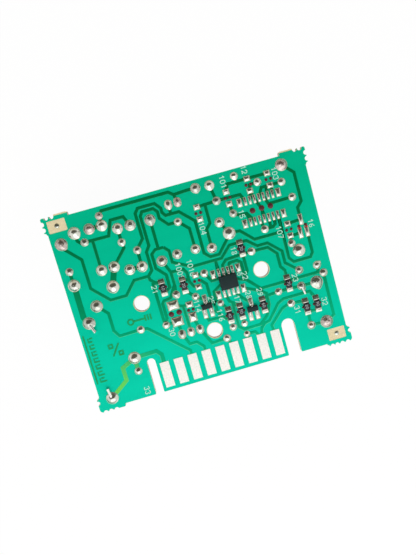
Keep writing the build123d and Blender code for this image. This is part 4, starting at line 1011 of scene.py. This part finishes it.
class BOARD_OT_chip_resistors(Operator):
    """Chip resistors with their plated caps"""

    bl_idname = "board.chip_resistors"
    bl_label = "Chip Resistors"

    def execute(self, context):
        parts = context.scene.part_settings
        edge = parts.edge / MM
        finishes = self.chip_finishes(parts)
        names = sorted(name for name in NODES if name.startswith("chip_resistor"))
        for number, name in enumerate(names, start=1):
            self.make_chip(name, str(number * 10), edge, finishes)
        self.make_caps(edge)
        return {"FINISHED"}

    def chip_finishes(self, parts):
        """Glaze, ceramic and the pale marking."""
        glaze = finish_of(
            "chip_glaze", parts.glaze, (0.022, 0.024, 0.028), rough=(0.2, 0.34), cloud=2200, grain=9000,
            bump=0.15, specular=0.2,
        )
        ceramic = finish_of(
            "chip_ceramic", (0.55, 0.56, 0.56), (0.45, 0.46, 0.46), rough=(0.5, 0.7), cloud=2000,
            grain=9000, bump=0.2,
        )
        marking = finish_of(
            "chip_marking", (0.42, 0.44, 0.46), (0.34, 0.36, 0.38), rough=(0.4, 0.6), cloud=3000, grain=9000
        )
        return [glaze, ceramic, marking]

    def make_chip(self, name, text, edge, finishes):
        """A ceramic body with a glazed, numbered top between its caps."""
        glaze, ceramic, marking = range(3)
        [(low, high, middle, _)] = solids_of(name)
        cap, top = 0.38, high.z + 0.03
        mark_height, mark_stroke = 0.72, 0.11
        mesh = bmesh.new()
        add_block(mesh, low, (high.x, high.y, high.z - 0.12), edge * 0.5, ceramic)
        add_block(mesh, (low.x, low.y + cap, high.z - 0.14), (high.x, high.y - cap, top), edge * 0.8, glaze)
        add_numeral(mesh, text, middle, mark_height, mark_stroke, top - 0.01, top + 0.008, marking)
        piece_from(mesh, f"{name}_glazed", finishes, [name], 35)

    def make_caps(self, edge):
        """Plated caps with a tinned crown."""
        plated = finish_of(
            "plated_cap", (0.46, 0.45, 0.40), (0.33, 0.32, 0.28), rough=(0.2, 0.34), metallic=1.0, cloud=1500,
            grain=7000, bump=0.3,
        )
        margin = Vector((0.1, 0.1, 0))
        crown = 0.09
        mesh = bmesh.new()
        for low, high, middle, size in solids_of("chip_terminations"):
            add_block(mesh, low, (high.x, high.y, high.z - 0.03), edge * 1.6)

            def height_at(u, v):
                return high.z - crown + crown * (1 - abs(u) ** 2.4) * (1 - abs(v) ** 2.2)

            add_field(mesh, middle, size - margin, height_at, (8, 6), base=high.z - 0.12)
        piece_from(mesh, "chip_caps", [plated], ["chip_terminations"])


class BOARD_OT_packages(Operator):
    """Moulded packages on both faces"""

    bl_idname = "board.packages"
    bl_label = "Packages"

    def execute(self, context):
        edge = context.scene.part_settings.edge / MM
        overlap = 0.01
        for name in ("amplifier_body", "transistor_1_body", "transistor_2_body"):
            [(low, high, middle, size)] = solids_of(name)
            draft = size.z / 2 * 0.12
            mesh = bmesh.new()
            add_block(mesh, low, (high.x, high.y, middle.z + overlap), edge * 0.5)
            add_block(mesh, (low.x, low.y, middle.z - overlap), high, edge, 0, draft)
            new_name = name.replace("body", "moulding")
            piece_from(mesh, new_name, [moulding_finish()], [name], 30)
        redress(["output_transistor"], moulding_finish())
        return {"FINISHED"}


# ---------- leaded parts ----------


def turned_piece(name, half, marks, middle, materials, replaced):
    """A body turned about the board's Y axis, in millimetres from its middle.

    Half of it is (distance along, radius) points, which are mirrored for its other half. The marks between
    them are (distance along, radius, material) points.
    """
    profile = [(radius, along, 0) for along, radius in half]
    profile += [(radius, along, material) for along, radius, material in marks]
    profile += [(radius, -along, 0) for along, radius in reversed(half)]
    turn = Vector((0, 0, 1)).rotation_difference(Vector((0, 1, 0))).to_matrix().to_4x4()
    mesh = bmesh.new()
    add_turned(mesh, profile, 40, Matrix.Translation(at(*middle)) @ turn @ Matrix.Scale(MM, 4))
    piece_from(mesh, name, materials, replaced, 35)


def round_end(length, radius, tip):
    """Points of a body's near end: from its middle out over a round shoulder."""
    found = [(-length / 2, 0.0)]
    points = 6
    for step in range(points + 1):
        angle = math.pi / 2 * step / points
        found.append((-length / 2 + tip * (1 - math.cos(angle)), radius - tip + tip * math.sin(angle)))
    return found


BAND_INKS = {
    "brown": (0.12, 0.04, 0.015), "red": (0.45, 0.02, 0.02), "orange": (0.72, 0.18, 0.02),
    "black": (0.01, 0.01, 0.01), "gold": (0.62, 0.42, 0.12),
}
BAND_PLACES = (-0.22, -0.08, 0.06, 0.24)  # shares of the length between the end caps
BAND_EDGE = 0.01


class BOARD_OT_resistors(Operator):
    """Power resistors and film resistors on the component side"""

    bl_idname = "board.resistors"
    bl_label = "Leaded Resistors"

    def execute(self, context):
        parts = context.scene.part_settings
        inks = [
            finish_of(f"band_{label}", colour, rough=(0.2, 0.35), cloud=900, grain=3000)
            for label, colour in BAND_INKS.items()
        ]
        cement = finish_of(
            "cement_coat", parts.cement, 0.8, rough=(0.6, 0.85), cloud=350, grain=2400, bump=0.6,
            depth=0.00008, specular=0.3,
        )
        lacquer = finish_of(
            "resistor_lacquer", parts.lacquer, 0.88, rough=(0.2, 0.35), cloud=500, grain=3000, bump=0.15,
            depth=0.00003,
        )
        for name in sorted(NODES):
            if name.startswith("dropper_resistor"):
                bands = (0.6, "brown", "orange", "red", "black")
                self.make_resistor(name, "cement_coat", [cement, *inks], bands, 2.2)
            elif name.endswith("_resistor"):
                bands = (0.35, "brown", "black", "red", "gold")
                self.make_resistor(name, "resistor_lacquer", [lacquer, *inks], bands)
        return {"FINISHED"}

    def make_resistor(self, name, slot, finishes, bands, cap=None):
        """A body with a narrower waist between its caps, and four bands on the waist.

        The bands are half the width of one, and their colours.
        """
        body = solid_between(*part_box(name))
        radius, length = body.size.x / 2, body.size.y
        cap = cap or 0.24 * length
        waist = radius - 0.25
        shoulder = 0.5
        raised = waist + 0.02
        band, *colours = bands
        half = round_end(length, radius, radius * 0.42)
        half += [(-length / 2 + cap, radius), (-length / 2 + cap + shoulder, waist)]
        marks = []
        for place, colour in zip(BAND_PLACES, colours):
            start = place * (length - 2 * cap)
            ink = 1 + list(BAND_INKS).index(colour)
            marks += [
                (start - band, waist, 0), (start - band + BAND_EDGE, raised, ink),
                (start + band, raised, ink), (start + band + BAND_EDGE, waist, ink),
            ]
        turned_piece(f"{name}_coat", half, marks, body.middle, finishes, [name])


class BOARD_OT_diodes(Operator):
    """Rectifier diodes and the zener diode"""

    bl_idname = "board.diodes"
    bl_label = "Diodes"

    def execute(self, context):
        band = finish_of("cathode_band", (0.55, 0.55, 0.55), (0.45, 0.45, 0.45), cloud=900, grain=5000)
        for name in sorted(name for name in NODES if "_diode" in name and "leads" not in name):
            body = solid_between(*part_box(name))
            radius, length = body.size.x / 2, body.size.y
            start, end = length / 2 - 1.7, length / 2 - 0.8
            marks = [(start, radius, 0), (start + BAND_EDGE, radius, 1), (end, radius, 1)]
            turned_piece(
                f"{name}_moulding", round_end(length, radius, 0.22), marks, body.middle,
                [moulding_finish(), band], [name],
            )
        return {"FINISHED"}


class BOARD_OT_capacitors(Operator):
    """Electrolytic capacitors and the disc capacitor"""

    bl_idname = "board.capacitors"
    bl_label = "Capacitors"

    def execute(self, context):
        parts = context.scene.part_settings
        redress(["main_capacitor_sleeve", "small_capacitor_sleeve"], finish_of(
            "vinyl_sleeve", parts.sleeve, 1.4, rough=(0.16, 0.28), cloud=500, grain=2500, bump=0.12,
            depth=0.00003,
        ))
        redress(["main_capacitor_can", "small_capacitor_can"], finish_of(
            "drawn_aluminium", (0.80, 0.80, 0.81), (0.70, 0.70, 0.71), rough=(0.22, 0.4), metallic=1.0,
            cloud=600, grain=5000, bump=0.2,
        ))
        redress(["main_capacitor_bung", "small_capacitor_bung"], finish_of(
            "rubber_bung", (0.02, 0.02, 0.02), (0.035, 0.035, 0.035), rough=(0.6, 0.8), cloud=900, grain=6000,
            bump=0.3,
        ))
        redress(["disc_capacitor"], finish_of("dip_coat", parts.dip, grain=3500, bump=0.3, depth=0.00004))
        return {"FINISHED"}


class BOARD_OT_leads(Operator):
    """Tinned leads"""

    bl_idname = "board.leads"
    bl_label = "Leads"

    def execute(self, context):
        redress([name for name in NODES if name.endswith("_leads")], wire_finish())
        return {"FINISHED"}


# ---------- stage ----------


KEY_PLACE = Vector((-0.03, -0.24, 0.20))
KEY_SIZE = 0.42
FLOOR_GLOW = 0.96  # how much of the floor that the camera sees is its own white
# Colours of the surround, by their share of the way from the contact side to the far side.
SURROUND = [
    (0.0, (0.62, 0.56, 0.54)), (0.03, (0.8, 0.77, 0.75)), (0.07, (1, 1, 1)), (0.8, (1, 0.98, 0.95)),
    (1.0, (0.74, 0.64, 0.50)),
]
# The dark ceiling panel: its colour, its lean towards the far edge, and the angles from its middle where it
# starts and where it is full, in degrees. Squeezing the outlook along X makes the panel wider that way.
PANEL_COLOUR = (0.12, 0.115, 0.09)
PANEL_LEAN = 30
PANEL_STARTS, PANEL_FULL = 45, 36
PANEL_SQUEEZE = (0.5, 1, 1)


class BOARD_OT_stage(Operator):
    """Floor, lamp, surroundings and camera"""

    bl_idname = "board.stage"
    bl_label = "Stage"

    def execute(self, context):
        scene = context.scene
        settings = scene.stage_settings
        scene.view_settings.view_transform = "Standard"

        floor = self.put("floor", self.floor_mesh(settings.floor_reach))

        lamp = bpy.data.lights.new("key_lamp", "AREA")
        lamp.shape = "DISK"
        lamp.size = KEY_SIZE
        lamp.energy = settings.key_power
        aim = Vector((0, 0, CORNER.z * MM)) - KEY_PLACE
        self.put("key_lamp", lamp, KEY_PLACE, aim.to_track_quat("-Z", "Y").to_euler())

        lens = bpy.data.cameras.new("camera")
        lens.lens = settings.lens
        scene.camera = self.put("camera", lens, settings.place, settings.turn)

        scene.world = self.surroundings(settings.surround)
        return {"FINISHED"}

    def put(self, name, data, place=(0, 0, 0), turn=(0, 0, 0)):
        """A new object at its place in the scene."""
        thing = bpy.data.objects.new(name, data)
        thing.location = place
        thing.rotation_euler = turn
        bpy.context.scene.collection.objects.link(thing)
        return thing

    def floor_mesh(self, reach):
        """A square floor under the board."""
        data = bpy.data.meshes.new("floor")
        corners = [(-reach, -reach, 0), (reach, -reach, 0), (reach, reach, 0), (-reach, reach, 0)]
        data.from_pydata(corners, [], [range(4)])
        data.materials.append(self.floor_finish())
        return data

    def floor_finish(self):
        """A white sweep that stays white to the eye and keeps a faint shadow."""
        material = bpy.data.materials.new("white_sweep")
        material.use_nodes = True
        tree = material.node_tree
        skin = {
            "Vector": add_node(tree, "TexCoord", {})["Object"],
            "Cloud Scale": 30,
            "Grain Scale": 900,
            "First Color": (0.95, 0.95, 0.95),
            "Second Color": (0.94, 0.94, 0.94),
        }
        colour = add_node(tree, "Group", skin, node_tree=mottled_skin())["Color"]
        paint = tree.nodes["Principled BSDF"]
        feed(tree, paint, {"Base Color": colour, "Roughness": 0.9, "Specular IOR Level": 0.1})
        glow = add_node(tree, "Emission", {"Strength": 1.0})["Emission"]
        path = add_node(tree, "LightPath", {})
        seen = combine(tree, "MAXIMUM", path["Is Camera Ray"], path["Is Transmission Ray"])
        seen = combine(tree, "MAXIMUM", seen, path["Is Glossy Ray"])
        share = combine(tree, "MULTIPLY", seen, FLOOR_GLOW)
        blend = add_node(tree, "MixShader", {0: share, 1: paint.outputs["BSDF"], 2: glow})
        feed(tree, tree.nodes["Material Output"], {"Surface": blend["Shader"]})
        return material

    def surroundings(self, strength):
        """A white surround with a dark ceiling panel, which the camera sees as plain white."""
        world = bpy.data.worlds.new("studio")
        world.use_nodes = True
        tree = world.node_tree
        outlook = add_node(tree, "TexCoord", {})["Generated"]

        across = share_between(tree, add_node(tree, "SeparateXYZ", {0: outlook})["Y"], -1, 1)
        walls = add_node(tree, "ValToRGB", {"Fac": across})["Color"]
        stops = walls.node.color_ramp.elements
        for place, _ in SURROUND[1:-1]:
            stops.new(place)
        for stop, (_, colour) in zip(stops, SURROUND):
            stop.color = (*colour, 1)

        squeezed = combine_vectors(tree, "MULTIPLY", outlook, PANEL_SQUEEZE)
        level = combine_vectors(tree, "NORMALIZE", squeezed)
        lean = math.radians(PANEL_LEAN)
        near = combine_vectors(tree, "DOT_PRODUCT", level, (0, math.sin(lean), math.cos(lean)))
        limits = (math.cos(math.radians(angle)) for angle in (PANEL_STARTS, PANEL_FULL))
        panel = share_between(tree, near, *limits, interpolation_type="SMOOTHSTEP")

        light = tree.nodes["Background"]
        feed(tree, light, {"Color": mix_colours(tree, panel, walls, PANEL_COLOUR), "Strength": strength})
        seen = add_node(tree, "Background", {"Color": (1, 1, 1)})["Background"]
        by_eye = add_node(tree, "LightPath", {})["Is Camera Ray"]
        blend = add_node(tree, "MixShader", {0: by_eye, 1: light.outputs["Background"], 2: seen})
        feed(tree, tree.nodes["World Output"], {"Surface": blend["Shader"]})
        return world


# ---------- panel and registration ----------


class BOARD_PT_panel(Panel):
    """Lists the board's pieces and their settings"""

    bl_idname = "BOARD_PT_panel"
    bl_label = "Control Board"
    bl_space_type = "VIEW_3D"
    bl_region_type = "UI"
    bl_category = "Control Board"

    def draw(self, context):
        for operator in OPERATORS:
            self.layout.operator(operator.bl_idname)
        for attribute, _ in SETTINGS:
            box = self.layout.box()
            group = getattr(context.scene, attribute)
            for field in type(group).__annotations__:
                box.prop(group, field)


SETTINGS = [
    ("board_settings", BoardSettings),
    ("solder_settings", SolderSettings),
    ("part_settings", PartSettings),
    ("stage_settings", StageSettings),
]
OPERATORS = [
    BOARD_OT_board_layers, BOARD_OT_tracks, BOARD_OT_legend, BOARD_OT_etched_marks, BOARD_OT_lead_joints,
    BOARD_OT_test_points, BOARD_OT_land_solder, BOARD_OT_adhesive, BOARD_OT_chip_resistors, BOARD_OT_packages,
    BOARD_OT_resistors, BOARD_OT_diodes, BOARD_OT_capacitors, BOARD_OT_leads, BOARD_OT_stage,
]


def register():
    for attribute, group in SETTINGS:
        bpy.utils.register_class(group)
        setattr(Scene, attribute, PointerProperty(type=group))
    for entry in (*OPERATORS, BOARD_PT_panel):
        bpy.utils.register_class(entry)


def unregister():
    for entry in reversed((*OPERATORS, BOARD_PT_panel)):
        bpy.utils.unregister_class(entry)
    for attribute, group in reversed(SETTINGS):
        delattr(Scene, attribute)
        bpy.utils.unregister_class(group)


def main():
    register()
    for operator in OPERATORS:
        family, action = operator.bl_idname.split(".")
        getattr(getattr(bpy.ops, family), action)()


if __name__ == "__main__":
    main()
